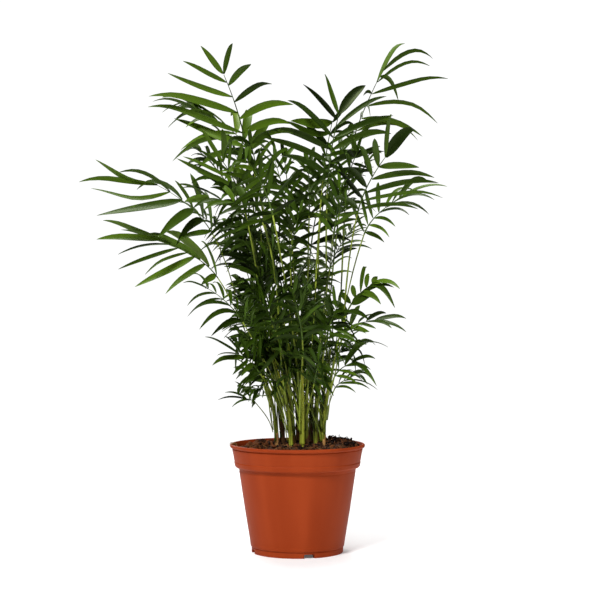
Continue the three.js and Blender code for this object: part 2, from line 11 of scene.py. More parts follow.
import bpy
import numpy as np
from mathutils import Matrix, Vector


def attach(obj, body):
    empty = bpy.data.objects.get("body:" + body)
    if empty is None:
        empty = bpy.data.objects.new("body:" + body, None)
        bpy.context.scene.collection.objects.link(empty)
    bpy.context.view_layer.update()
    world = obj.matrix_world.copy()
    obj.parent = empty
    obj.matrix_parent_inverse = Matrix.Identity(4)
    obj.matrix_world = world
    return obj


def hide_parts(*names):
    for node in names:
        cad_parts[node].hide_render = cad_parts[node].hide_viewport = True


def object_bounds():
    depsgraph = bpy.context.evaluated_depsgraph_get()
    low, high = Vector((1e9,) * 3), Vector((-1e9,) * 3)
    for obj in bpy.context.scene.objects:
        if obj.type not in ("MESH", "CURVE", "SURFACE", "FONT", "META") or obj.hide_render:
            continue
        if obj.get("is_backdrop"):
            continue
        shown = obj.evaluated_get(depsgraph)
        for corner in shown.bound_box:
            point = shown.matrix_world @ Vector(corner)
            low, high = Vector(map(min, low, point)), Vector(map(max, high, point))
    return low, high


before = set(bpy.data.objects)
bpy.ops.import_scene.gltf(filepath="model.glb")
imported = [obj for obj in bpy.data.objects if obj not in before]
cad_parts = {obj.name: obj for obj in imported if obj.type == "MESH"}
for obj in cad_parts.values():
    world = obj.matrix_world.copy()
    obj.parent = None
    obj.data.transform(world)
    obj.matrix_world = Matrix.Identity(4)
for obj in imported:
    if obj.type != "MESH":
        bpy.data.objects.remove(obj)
solid_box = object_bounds()
MM = 0.001  # the lesson reckons in millimetres, and Blender in metres
print(len(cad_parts), "nodes; size in mm:",
      [round((high - low) / MM, 1) for low, high in zip(*solid_box)])

# %% [markdown]
# ## Camera, light and floor
# The plant stands on a pale studio floor, seen level from about two metres away with a long lens,
# which keeps the pot's sides straight. Large soft lamps stand all round it: the strongest at the
# front left to shape the leaves, a weaker one at the right, and two behind and above that pick
# out the edges. The surround is white to the eye but lights the plant only weakly, as the dark
# room behind the lamps of a studio does, or glossy leaves would turn milky. The floor is a round
# sheet of pale card, small enough to be lit white up to its edge, with a faint shadow at the pot.
# A little glow of its own keeps it white; under the pot the glow is less, a painted shade where no
# lamp reaches.

# %% Camera
def placed(name, data):
    """A new object that shows the data, added to the scene."""
    item = bpy.data.objects.new(name, data)
    bpy.context.collection.objects.link(item)
    return item


CAMERA = {"place": (0.0032, -1.914, 0.317), "lens": 91.0}
view = bpy.data.cameras.new("plant_camera")
view.lens = CAMERA["lens"]
view.sensor_width = 36.0
view.clip_end = 60.0
camera = placed("plant_camera", view)
camera.location = CAMERA["place"]
camera.rotation_euler = (math.radians(90), 0, 0)
bpy.context.scene.camera = camera
bpy.context.scene.view_settings.view_transform = "Standard"
print("camera at", CAMERA["place"], "lens", CAMERA["lens"], "mm")

# %% Lamps and the white surround
LAMPS = {
    "key_lamp": {"place": (-0.9, -1.9, 2.3), "size": 0.8, "watts": 98},
    "fill_lamp": {"place": (1.5, -2.1, 1.1), "size": 1.3, "watts": 9},
    "top_lamp": {"place": (0.2, 0.4, 2.4), "size": 0.8, "watts": 40},
    "back_lamp": {"place": (-0.9, 2.3, 1.5), "size": 1.2, "watts": 36},
}
LAMP_AIM = (0.0, 0.0, 0.3)
for name, lamp in LAMPS.items():
    data = bpy.data.lights.new(name, "AREA")
    data.energy, data.size = lamp["watts"], lamp["size"]
    item = placed(name, data)
    item.location = lamp["place"]
    aim = np.array(LAMP_AIM) - np.array(lamp["place"])
    item.rotation_euler = (math.acos(aim[2] / np.linalg.norm(aim)) - math.pi, 0,
                           math.atan2(aim[1], aim[0]) + math.pi / 2)
surround = bpy.data.worlds.new("white_surround")
surround.use_nodes = True
sky, links = surround.node_tree.nodes, surround.node_tree.links
seen, strength = sky.new("ShaderNodeLightPath"), sky.new("ShaderNodeMapRange")
strength.inputs["To Min"].default_value = 0.035  # what lights the plant
strength.inputs["To Max"].default_value = 1.05  # what the eye sees behind it
links.new(seen.outputs["Is Camera Ray"], strength.inputs["Value"])
links.new(strength.outputs["Result"], sky["Background"].inputs["Strength"])
sky["Background"].inputs["Color"].default_value = (1, 1, 1, 1)
bpy.context.scene.world = surround
print(len(LAMPS), "lamps")

# %% [markdown]
# ## Tools of the lesson
# Every piece below is a surface worked out as arrays: rows of points along something, and columns
# round it. One helper turns such rings into faces, one closes tubes at both ends, and one puts
# the arrays into a mesh. Working this way keeps each shape a short formula, which is easier to
# change than a sculpted mesh, and a thousand leaflets cost no more code than one.

# %% Rings and tubes
def ring_faces(rows, columns, closed=False):
    """Quads between neighbouring rings of points; closed also joins the last ring to the first."""
    i = np.arange(rows if closed else rows - 1)[:, None]
    j = np.arange(columns)[None, :]
    k, low, high = (j + 1) % columns, i * columns, (i + 1) % rows * columns
    return np.stack([low + j, low + k, high + k, high + j], axis=-1).reshape(-1, 4)


def for_each(faces, count, size):
    """The faces of one body of size points, repeated for count such bodies in a row."""
    start = (np.arange(count) * size)[:, None, None]
    return (faces[None] + start).reshape(-1, faces.shape[1])


def tubes(rings, tips=None):
    """Closed tubes from rings[tube, row, column]: rings joined by quads, both ends by triangles.

    The foot of each tube is a point in the middle of its first ring. Its tip is the one given, or
    else a point in the middle of its last ring.
    """
    count, rows, columns, _ = rings.shape
    feet = rings[:, 0].mean(axis=1)
    tips = rings[:, -1].mean(axis=1) if tips is None else tips
    points = np.concatenate(
        [rings.reshape(count, rows * columns, 3), feet[:, None], tips[:, None]], axis=1)
    j = np.arange(columns)
    k = (j + 1) % columns
    last = (rows - 1) * columns
    foot = np.stack([k, j, np.full(columns, rows * columns)], axis=-1)
    tip = np.stack([last + j, last + k, np.full(columns, rows * columns + 1)], axis=-1)
    size = points.shape[1]
    return (points.reshape(-1, 3), for_each(ring_faces(rows, columns), count, size),
            for_each(np.concatenate([foot, tip]), count, size))


# %% Pieces
def add_piece(name, surface, finish, stands_for, uv=None, tone=None):
    """A smooth mesh piece from points in millimetres; it replaces nodes of the solid model.

    The surface is its points, quads and triangles. uv has one pair for each corner of the quads
    and then of the triangles; tone, one number for each body of the piece, is kept at the body's
    points as an attribute that the finish may read.
    """
    points, quads, triangles = surface
    mesh = bpy.data.meshes.new(name)
    faces = quads.tolist() + triangles.tolist()
    mesh.from_pydata(points * MM, [], faces)
    mesh.polygons.foreach_set("use_smooth", np.ones(len(faces), bool))
    if uv is not None:
        mesh.uv_layers.new(name="along").data.foreach_set("uv", uv.astype(np.float32).ravel())
    if tone is not None:
        tone = np.repeat(tone, len(points) // len(tone)).astype(np.float32)
        mesh.attributes.new("tone", "FLOAT", "POINT").data.foreach_set("value", tone)
    mesh.materials.append(finish.material)
    mesh.update()
    piece = placed(name, mesh)
    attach(piece, "root")
    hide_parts(*stands_for)
    print(f"{name}: {len(points)} points, {2 * len(quads) + len(triangles)} triangles")
    return piece


# %% Directions and chance
def unit(v):
    """v over its length, along the last axis."""
    return v / np.linalg.norm(v, axis=-1, keepdims=True)


def mix(a, b, t):
    """a where t is 0, b where t is 1, and evenly between."""
    return a + (b - a) * t


def chance(a, b, c):
    """Even chance between -1 and 1 for three numbers: the fraction of a large sine, spread out."""
    wave = np.sin(a * 12.9898 + b * 78.233 + c * 37.719) * 43758.5453
    return 2 * (wave - np.floor(wave)) - 1


def turned(radius, angle, height):
    """Points at a radius and an angle in radians about the upright axis, and at a height."""
    parts = np.broadcast_arrays(radius * np.cos(angle), radius * np.sin(angle), height)
    return np.stack(parts, axis=-1)


def heading(azimuth, elevation=0.0):
    """Unit vector along an azimuth and an elevation in degrees."""
    azimuth, elevation = np.radians(azimuth), np.radians(elevation)
    return turned(np.cos(elevation), azimuth, np.sin(elevation))


UP = np.array([0.0, 0.0, 1.0])

# %% [markdown]
# ## Writing finishes as sums
# A finish is a network of nodes, which is slow to read as a list of links. A small class wraps a
# socket so that `1 - mask` or `grain * 0.4` adds the Math nodes by itself, and one method makes
# any other node from its type, its settings and its inputs. Numbers that stay the same over the
# whole surface go straight onto the shader.

# %% Sums in a finish
class Number:
    """A value inside a finish. Sums, products and comparisons of it add their own Math nodes."""

    def __init__(self, finish, socket):
        self.finish, self.socket = finish, socket

    def work(self, operation, *values):
        """One Math node with those values in its sockets."""
        settings = {"operation": operation}
        return self.finish.node("ShaderNodeMath", settings, dict(enumerate(values)))

    def __add__(self, other):
        return self.work("ADD", self, other)

    def __mul__(self, other):
        return self.work("MULTIPLY", self, other)

    def __sub__(self, other):
        return self.work("SUBTRACT", self, other)

    def __rsub__(self, other):
        return self.work("SUBTRACT", other, self)

    def __gt__(self, other):
        return self.work("GREATER_THAN", self, other)

    __radd__, __rmul__ = __add__, __mul__

    def between(self, low, high):
        """0 below low, 1 above high, and smooth between."""
        settings = {"interpolation_type": "SMOOTHSTEP"}
        values = {"Value": self, "From Min": low, "From Max": high}
        return self.finish.node("ShaderNodeMapRange", settings, values)


# %% Finishes
class Finish:
    """A material around one Principled surface; constants are set on its own sockets."""

    def __init__(self, name, **constants):
        self.material = bpy.data.materials.new(name)
        self.material.use_nodes = True
        self.tree = self.material.node_tree
        self.surface = self.tree.nodes["Principled BSDF"]
        for socket, value in constants.items():
            self.surface.inputs[socket.replace("_", " ").title().replace("Ior", "IOR")
                                ].default_value = value

    def node(self, kind, settings=None, values=None, output=0):
        """Any node: its settings first, then numbers or links into its sockets."""
        node = self.tree.nodes.new(kind)
        for name, value in (settings or {}).items():
            setattr(node, name, value)
        for socket, value in (values or {}).items():
            self.feed(node.inputs[socket], value)
        return Number(self, node.outputs[output])

    def feed(self, socket, value):
        """A link into the socket, or a plain value."""
        if isinstance(value, Number):
            self.tree.links.new(value.socket, socket)
        else:
            socket.default_value = value

    def colour(self, factor, low, high):
        """Colour low where factor is 0 and high where it is 1."""
        settings = {"data_type": "RGBA"}
        return self.node("ShaderNodeMix", settings, {0: factor, 6: low, 7: high}, output=2)

    def noise(self, scale, detail=2.0, stretch=(1, 1, 1), roughness=0.5):
        """Cloudy noise from 0 to 1 that stays on the piece; scale is waves to the metre."""
        place = self.node("ShaderNodeTexCoord", output="Object")
        place = self.node("ShaderNodeMapping", None, {"Vector": place, "Scale": stretch})
        values = {"Vector": place, "Scale": scale, "Detail": detail, "Roughness": roughness}
        return self.node("ShaderNodeTexNoise", None, values)

    def paint(self, colour):
        self.feed(self.surface.inputs["Base Color"], colour)

    def rough(self, value):
        self.feed(self.surface.inputs["Roughness"], value)

    def tone(self):
        """The tone that each body of the piece has been given."""
        return self.node("ShaderNodeAttribute", {"attribute_name": "tone"}, output="Fac")

    def relief(self, height, strength, depth):
        """Small relief in the normals: height from 0 to 1 stands for a depth in metres."""
        values = {"Height": height, "Strength": strength, "Distance": depth}
        self.feed(self.surface.inputs["Normal"], self.node("ShaderNodeBump", None, values))


# %% Colours
def tint(red, green, blue):
    """Colour for a shader from the 0 to 255 values that a colour picker shows."""
    part = np.array([red, green, blue]) / 255
    part = np.where(part <= 0.04045, part / 12.92, ((part + 0.055) / 1.055) ** 2.4)
    return (*part.tolist(), 1.0)


# %% Floor
card = Finish("pale_card", roughness=0.9, base_color=(0.8, 0.8, 0.8, 1), emission_strength=0.22)
where = card.node("ShaderNodeTexCoord", output="Object")
from_axis = card.node("ShaderNodeVectorMath", {"operation": "LENGTH"}, {0: where}, output=1)
# painted shade: the floor's glow turns grey under the pot, within 50 to 57 mm of its axis
glow_and_painted_shade = card.colour(from_axis.between(0.05, 0.057), (0.36, 0.4, 0.4, 1), (1, 1, 1, 1))
card.feed(card.surface.inputs["Emission Color"], glow_and_painted_shade)
CARD = {"radius": 1.25, "corners": 96}
angle = np.linspace(0, 2 * np.pi, CARD["corners"], endpoint=False)
floor_mesh = bpy.data.meshes.new("studio_floor")
floor_mesh.from_pydata(turned(CARD["radius"], angle, 0.0), [], [range(CARD["corners"])])
floor_mesh.materials.append(card.material)
floor = placed("studio_floor", floor_mesh)
floor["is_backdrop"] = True
print("floor", 2 * CARD["radius"], "m across")

# %% [markdown]
# ## The plant's own numbers
# The solids were grown from these named sizes: where each cane stands, and for each frond the cane
# that carries it, where its leaflets begin and end, which way its upper face looks, and how many
# pairs of leaflets it has. The back of the crown follows a rule of tiers. The same numbers are
# written again here, because the finer fronds must lie where the plain ones do.

# %% Canes and fronds in numbers
PEAT_TOP = 133.0
GAP, FOOT_GAP = 0.35, 0.37  # clear space under each cane and at the foot of each frond
CANES = [  # place, lean at the tip, height, radius, all in mm
    ((-26, 2), (-27, 3), 112, 3.2), ((-19, 15), (-14, 12), 120, 3.8),
    ((-8, -15), (-26, -9), 118, 3.0), ((-5, -4), (-19, -2), 126, 3.6),
    ((1, 19), (-3, 16), 130, 3.2), ((6, -19), (0, -12), 124, 3.9),
    ((11, -6), (3, -4), 134, 3.3), ((17, 23), (5, 17), 126, 3.9),
    ((23, 6), (8, 3), 128, 3.7), ((29, 17), (14, 12), 118, 3.2),
    ((33, -8), (15, -7), 114, 2.6), ((-7, 34), (-9, 24), 116, 3.4),
]


def frond(cane, neck, tip, face, pairs, leaf, shade=1, **habit):
    """One row: habit holds what differs from the usual opening, end size, fold, droop and sag.

    Neck and tip are places, face the azimuth and the elevation of the upper side, leaf the length
    of the longest leaflet and shade its age together with painted shade for where it lies in the
    clump, from 0 for the darkest to 3 for a fresh one.
    """
    usual = {"open": (64, 27), "end": 0.64, "fold": 10, "droop": 0.18, "sag": 0.3, "slim": 1.0}
    return {"cane": cane, "neck": np.array(neck, float), "tip": np.array(tip, float),
            "face": face, "pairs": pairs, "leaf": leaf, "shade": shade, **usual, **habit}


# %% The fronds one by one
FRONDS = [
    frond(1, (-64, -5, 505), (-92, -20, 598), (-115, 5), 6, 114, 1.7,
          end=0.46, fold=20, droop=0.04),
    frond(3, (-62, 18, 504), (-130, 26, 559), (-95, 65), 7, 80, 2.2, open=(48, 16), droop=0.26),
    frond(2, (-67, -35, 434), (-93, -50, 489), (-110, 10), 6, 76, 1.6,
          open=(66, 30), fold=16, droop=0.04),
    frond(2, (-48, -60, 412), (-108, -78, 440), (-95, 55), 6, 50, 1.3),
    frond(0, (-105, -20, 399), (-178, -26, 462), (-90, 66), 6, 112, 1.5,
          open=(44, 13), end=0.9, fold=-14),
    frond(0, (-105, -12, 345), (-175, -24, 393), (-90, 60), 7, 92, 2.0,
          open=(46, 14), end=0.85, fold=-14, droop=0.22, sag=0.2),
    frond(2, (-67, -44, 290), (-111, -55, 332), (-90, 58), 6, 54, 0.9,
          open=(62, 26), droop=0.42),
    frond(2, (-42, -48, 226), (-72, -78, 252), (-105, 40), 6, 56, 1.3, open=(72, 20), end=0.8),
    frond(0, (-49, -24, 190), (-64, -31, 194), (-90, 50), 3, 36, 0.9, open=(58, 24), end=0.9),
    frond(0, (-42, -38, 206), (-60, -44, 206), (-90, 50), 4, 20, 0.9, droop=0.6),
    frond(8, (38, -45, 468), (52, -40, 550), (-88, 0), 6, 96, 0.3,
          open=(70, 30), end=0.58, droop=0.05),
    frond(5, (32, -20, 466), (44, -20, 541), (-60, 20), 6, 52, 0.9),
    frond(4, (15, 30, 425), (14, 40, 490), (-90, 20), 8, 56, 0.6),
    frond(9, (70, 12, 512), (106, 22, 600), (-42, 0), 7, 118, 1.8,
          open=(60, 20), end=0.68, fold=30, droop=0.32, sag=0.1),
    frond(10, (74, -60, 424), (109, -75, 493), (-62, 5), 6, 96, 1.0,
          open=(66, 30), end=0.6, fold=24, droop=0.2),
    frond(9, (83, -20, 399), (130, -12, 446), (-80, 60), 7, 64, 1.3,
          open=(56, 18), end=0.95, droop=0.26),
    frond(10, (63, -30, 302), (94, -45, 338), (-80, 35), 6, 50, 1.4, open=(62, 30), droop=0.36),
    frond(9, (60, -12, 277), (98, -16, 291), (-90, 60), 5, 46, 1.6,
          open=(50, 14), end=0.9, droop=0.3),
    frond(8, (42, -48, 256), (67, -52, 279), (-85, 55), 5, 34, 1.2, droop=0.34),
    frond(10, (46, -30, 222), (68, -40, 240), (-80, 40), 4, 40, 1.4, open=(62, 25), end=0.85),
    frond(10, (46, -22, 207), (66, -28, 220), (-80, 60), 4, 40, 1.3,
          open=(50, 16), end=0.9, droop=0.34),
    frond(5, (-30, -66, 420), (-59, -95, 484), (-90, 35), 7, 60, 1.2, open=(66, 36)),
    frond(8, (44, -80, 396), (52, -100, 449), (-90, 60), 6, 54, 1.0),
    frond(1, (-42, 20, 372), (-90, 30, 414), (-90, 50), 8, 56, 0.7, droop=0.5),
    frond(5, (6, -70, 268), (-6, -100, 326), (-90, 40), 8, 58, 0.7),
    frond(8, (38, -64, 268), (50, -92, 314), (-80, 50), 8, 54, 0.9),
    frond(3, (-32, -62, 280), (-56, -95, 328), (-100, 45), 8, 56, 0.9),
    frond(6, (18, -58, 214), (30, -92, 254), (-90, 45), 8, 48, 0.8),
    frond(3, (-42, 0, 318), (-68, -10, 398), (-95, 20), 7, 60, 0.6),
    frond(6, (-8, 10, 404), (-16, 0, 492), (-90, 15), 7, 58, 0.6),
]

# %% The back of the crown in tiers
TIERS = [  # how many, from, to (degrees), reach, height of the tips, its spread, leaflet, pairs
    (5, 20, 160, 92, 268, 30, 58, 7), (5, 50, 168, 136, 388, 44, 72, 8),
    (6, 8, 172, 98, 500, 40, 80, 8),
]
INNER = 21  # fronds past this one are in the dense middle and at the back
CROWDING = 14  # how much less a cane leans towards a new frond for each one that it carries
FORK = 173  # height from which the necks of a tier rise towards its tips


def tier_fronds(tiers, load, look=180, turn=0, middle=(0, 0, 0), **habit):
    """Rows of some tiers: each frond goes to the cane that leans that way and is least crowded.

    Azimuths are spaced evenly and moved by chance, as are reach and height. The neck stands half
    as far out as the tip, and its height is 0.72 of the way from the fork to the tip's.
    """
    reach = np.array([[x + dx, y + dy] for (x, y), (dx, dy), _, _ in CANES])
    for count, start, end, far, top, spread, leaf, pairs in tiers:
        for i in range(count):
            seed = 100 * count + 10 * i + leaf
            azimuth = mix(start, end, (i + 0.5 + 0.25 * chance(seed, i, 1)) / count)
            away = far * (1 + 0.12 * chance(seed, i, 2))
            high = top + spread * chance(seed, i, 3)
            out = heading(azimuth)
            cane = int(np.argmax(reach @ out[:2] - CROWDING * np.array(load)))
            load[cane] += 1
            yield frond(cane, middle + out * away * 0.5 + UP * mix(FORK, high, 0.72),
                        middle + out * away + UP * high,
                        (azimuth + look + turn * chance(seed, i, 5), 40 + 22 * chance(seed, i, 4)),
                        pairs, leaf, **habit)


load = [sum(row["cane"] == index for row in FRONDS) for index in range(len(CANES))]
rows = FRONDS + list(tier_fronds(TIERS, load))
nodes = [f"frond_{number + 1:02d}" for number in range(len(rows))]
order = [sum(o["cane"] == row["cane"] and o["neck"][2] < row["neck"][2] for o in rows)
         for row in rows]
print(len(CANES), "canes and", len(rows), "fronds")

# %% [markdown]
# ## Where each frond runs
# A frond leaves its cane steeply, swings out to its neck, and from there its rib arches to the
# tip: two curves that meet in one direction. Where a rib or a leaflet would have touched another
# piece, the solid model took the next of a numbered list of small shifts. Here each candidate is
# worked out in turn, and the one whose corners are found in the solid is the one that was grown.

# %% The route of a frond
def cane_axis(cane, t):
    """Point t of the way up a cane: straight up, leaning out with the square of t."""
    (x, y), (dx, dy), height, _ = CANES[cane]
    t = np.asarray(t, float)
    return np.stack([x + dx * t * t, y + dy * t * t, PEAT_TOP + GAP + height * t], axis=-1)


def cane_radius(cane, t):
    """Radius at t: flared by a fifth at the foot, drawn out as (1 - t) to the 0.45 to a spear."""
    return mix(0.5, CANES[cane][3], (1 - t) ** 0.45) * (1 + 0.2 * np.maximum(0, 1 - t / 0.12))


def bend(start, leave, end, arrive, t):
    """Curve from start to end with those directions: a cubic of four control points."""
    t = np.asarray(t, float)[..., None]
    a, b = start + leave / 3, end - arrive / 3
    return ((1 - t) ** 3 * start + 3 * (1 - t) ** 2 * t * a
            + 3 * (1 - t) * t * t * b + t ** 3 * end)


SPROUT = {"first": 0.15, "step": 0.14, "aside": 25}  # shares of the cane's height, degrees
TRY = {"turn": 8, "spiral": 137.5, "drift": 1.6, "most": 60}  # degrees, degrees, mm, count


def route(row, place, attempt):
    """The two curves of a frond at one of the numbered tries, as their four control values.

    The fronds of a cane leave it one above the other, by turns to either side of their neck. Each
    try turns that side further, left and right, and moves the neck out along a spiral.
    """
    t = SPROUT["first"] + SPROUT["step"] * place
    axis = cane_axis(row["cane"], t)
    turn = (1 if attempt % 2 else -1) * math.ceil(attempt / 2) * TRY["turn"]
    neck = row["neck"] + heading(attempt * TRY["spiral"]) * TRY["drift"] * math.sqrt(attempt)
    away = math.degrees(math.atan2(neck[1] - axis[1], neck[0] - axis[0]))
    out = heading(away + turn + (SPROUT["aside"] if place % 2 else -SPROUT["aside"]))
    foot = axis + out * (cane_radius(row["cane"], t) + FOOT_GAP)
    climb = unit(cane_axis(row["cane"], t + 0.01) - axis)
    low, high = np.linalg.norm(neck - foot), np.linalg.norm(row["tip"] - neck)
    swing = unit(row["tip"] - foot)
    leave = unit(climb + 0.14 * out)
    arrive = unit(unit(row["tip"] - neck) - row["sag"] * UP)
    return {"petiole": (foot, leave * low, neck, swing * low),
            "blade": (neck, swing * high, row["tip"], arrive * high),
            "out": out, "face": heading(*row["face"]), "high": high, "foot_t": t}


def frames(curve, face, t, step=1e-4):
    """Points of a curve with its direction, upper normal and side at each."""
    t = np.asarray(t, float)
    along = unit(bend(*curve, np.minimum(t + step, 1)) - bend(*curve, np.maximum(t - step, 0)))
    normal = unit(face - along * (face * along).sum(-1, keepdims=True))
    return bend(*curve, t), along, normal, np.cross(along, normal)


ROOT_SHARE = 0.072  # a leaflet's root along the rib, as a share of the longest leaflet
RIB = (1.15, 0.5)  # half the rib's width at its foot and at its tip
CLOSE = 0.02  # a fiftieth of a millimetre


def blade_sections(row, path, pair, end):
    """Frames at the near (-1) or far (1) end, or the middle (0), of each pair's root on the rib."""
    half = ROOT_SHARE * row["leaf"] / 2 / path["high"]
    t = mix(half + 0.01, 1 - half, np.asarray(pair, float) / (row["pairs"] - 1)) + end * half
    return (*frames(path["blade"], path["face"], t), mix(*RIB, t)[:, None])


# %% Which try was grown
def corners_of(node):
    """The node's own corners, in millimetres."""
    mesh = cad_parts[node].data
    flat = np.empty(3 * len(mesh.vertices), np.float32)
    mesh.vertices.foreach_get("co", flat)
    return flat.reshape(-1, 3).astype(float) / MM


def found(points, corners):
    """For each point, whether the solid has a corner close to it."""
    gaps = np.linalg.norm(points[:, None] - corners[None], axis=-1).min(axis=1)
    return gaps < CLOSE


paths = []
for row, node, place in zip(rows, nodes, order):
    corners = corners_of(node)
    for attempt in range(TRY["most"]):
        path = route(row, place, attempt)
        centre, _, _, side, half_width = blade_sections(row, path, np.arange(row["pairs"]), -1)
        if found(centre - side * half_width, corners).all():
            paths.append({**path, "attempt": attempt, "corners": corners})
            break
print(len(paths), "of", len(rows), "fronds found; the latest try was",
      max(path["attempt"] for path in paths))

# %% [markdown]
# ## How a leaflet sits on its rib
# A leaflet stands open from the rib, more at the neck than at the tip, folded up a little from
# the flat, and droops under its own weight along a parabola. Chance turns it by a few degrees, so
# that no two are alike. The numbers come out as arrays with one entry for each leaflet. In the
# middle of the clump and at the back the fronds are closer set than the solids show, so there a
# smaller leaflet grows between each two.

# %% Leaflets as arrays
TRIES = np.array([  # turned by, lifted by (degrees), share of the length
    (0, 0, 1), (0, 14, 1), (0, -14, 1), (9, 0, 1), (-9, 0, 1), (5, 26, 1), (5, -26, 1),
    (-12, 20, 0.9), (-12, -20, 0.9), (0, 0, 0.75), (0, 22, 0.75), (0, -22, 0.75), (-14, 34, 0.7)])


def any_try(number, place):
    """A number of a try, dealt out by chance."""
    return np.floor(len(TRIES) * (0.5 + 0.4999 * chance(number, place, 12))).astype(int)


BROAD = (3.5, 0.044)  # a leaflet's width: millimetres, and a share of its length
LAST = 1.25  # how much wider the pair at the end is
ASKEW = 11  # degrees by which chance turns and lifts a leaflet


def leaflets(row, number, pair, sign, frame_at, root, attempt):
    """Root, directions, length and droop of leaflets from their pair, side and numbered try.

    With q from 0 at the first pair to 1 at the last, the angle from the rib falls from wide to
    narrow as q to the 1.5, and the length to the end's share as q to the 1.4. Chance adds to both.
    """
    along, normal, side = frame_at
    q = pair / (row["pairs"] - 1)
    place = 2 * pair + (sign > 0)
    swing, lift, size = TRIES[attempt].T
    wide, narrow = row["open"]
    angle = np.radians(mix(wide, narrow, q ** 1.5) + ASKEW * chance(number, place, 1) + swing)
    fold = np.radians(row["fold"] + ASKEW * chance(number, place, 2) + lift)
    taper = mix(1, row["end"], q ** 1.4) * mix(0.86, 1, np.minimum(1, 3.5 * q))
    length = row["leaf"] * taper * (1 + 0.08 * chance(number, place, 3)) * size
    droop = row["droop"] * (1 + 0.5 * chance(number, place, 4))
    across = (sign * np.cos(fold))[:, None] * side + np.sin(fold)[:, None] * normal
    way = np.cos(angle)[:, None] * along + np.sin(angle)[:, None] * across
    forward = unit(along - way * (along * way).sum(-1, keepdims=True))
    width = (BROAD[0] + BROAD[1] * length) * np.where(q == 1, LAST, 1)
    width = width * (1 + 0.2 * chance(number, place, 13))
    return {"root": root, "way": way, "forward": forward * sign[:, None], "length": length,
            "droop": droop, "width": width, "sign": sign, "pair": pair,
            "frond": np.full(len(pair), number), "along": along}


def tip_of(leaf):
    """Where the leaflets end: their length along their way, less their droop."""
    far = leaf["way"] * leaf["length"][:, None]
    return leaf["root"] + far - UP * (leaf["length"] * leaf["droop"])[:, None]


def paired_leaflets(number, row, path, attempt):
    """Two leaflets at each pair's place, rooted half way along the pair's stretch of rib."""
    pair = np.repeat(np.arange(row["pairs"]), 2).astype(float)
    sign = np.tile([-1.0, 1.0], row["pairs"])
    near, along, normal, side, slim = blade_sections(row, path, pair, -1)
    far, _, _, far_side, far_slim = blade_sections(row, path, pair, 1)
    edge = sign[:, None]
    root = (near + edge * side * slim + far + edge * far_side * far_slim) / 2
    return leaflets(row, number, pair, sign, (along, normal, side), root,
                    np.broadcast_to(attempt, len(pair)))


def grown_leaflets(number, row, path, drawn):
    """The leaflets that the solid has, on the drawn path: the first try whose tip it has."""
    tries = [paired_leaflets(number, row, path, attempt) for attempt in range(len(TRIES))]
    there = np.array([found(tip_of(leaf), path["corners"]) for leaf in tries])
    first, kept = there.argmax(axis=0), there.any(axis=0)
    grown = paired_leaflets(number, row, drawn, first)
    return {key: value[kept] for key, value in grown.items()}, int((~kept).sum())


def between_leaflets(number, row, path):
    """Leaflets half way between the pairs, each by a try dealt by chance, a third left out."""
    pair = np.repeat(np.arange(row["pairs"] - 1) + 0.5, 2)
    sign = np.tile([-1.0, 1.0], row["pairs"] - 1)
    kept = chance(number, pair * sign, 9) > -0.35
    pair, sign = pair[kept], sign[kept]
    centre, along, normal, side, slim = blade_sections(row, path, pair, 0)
    return leaflets(row, number, pair, sign, (along, normal, side),
                    centre + sign[:, None] * side * slim, any_try(number, pair * sign))


# %% [markdown]
# ## Old fronds lose their evenness
# A new frond is as even as a feather. Later every leaflet strays a little from its place, and about
# one in seven goes limp and hangs from the middle. On the large fronds that stand out of the clump
# the leaflets have also grown long on the light side or opened wide. The solid keeps the even rule;
# here each such frond says, for its left and its right side, by what share its leaflets are longer
# and how many degrees they open more, evenly spaced from the foot of the rib to its tip. It can
# also arch, stiffen, widen or roll its blades, or let them stand further along the rib. A few
# fronds, counted on into the young ones below, are stunted: all their leaflets stay short.

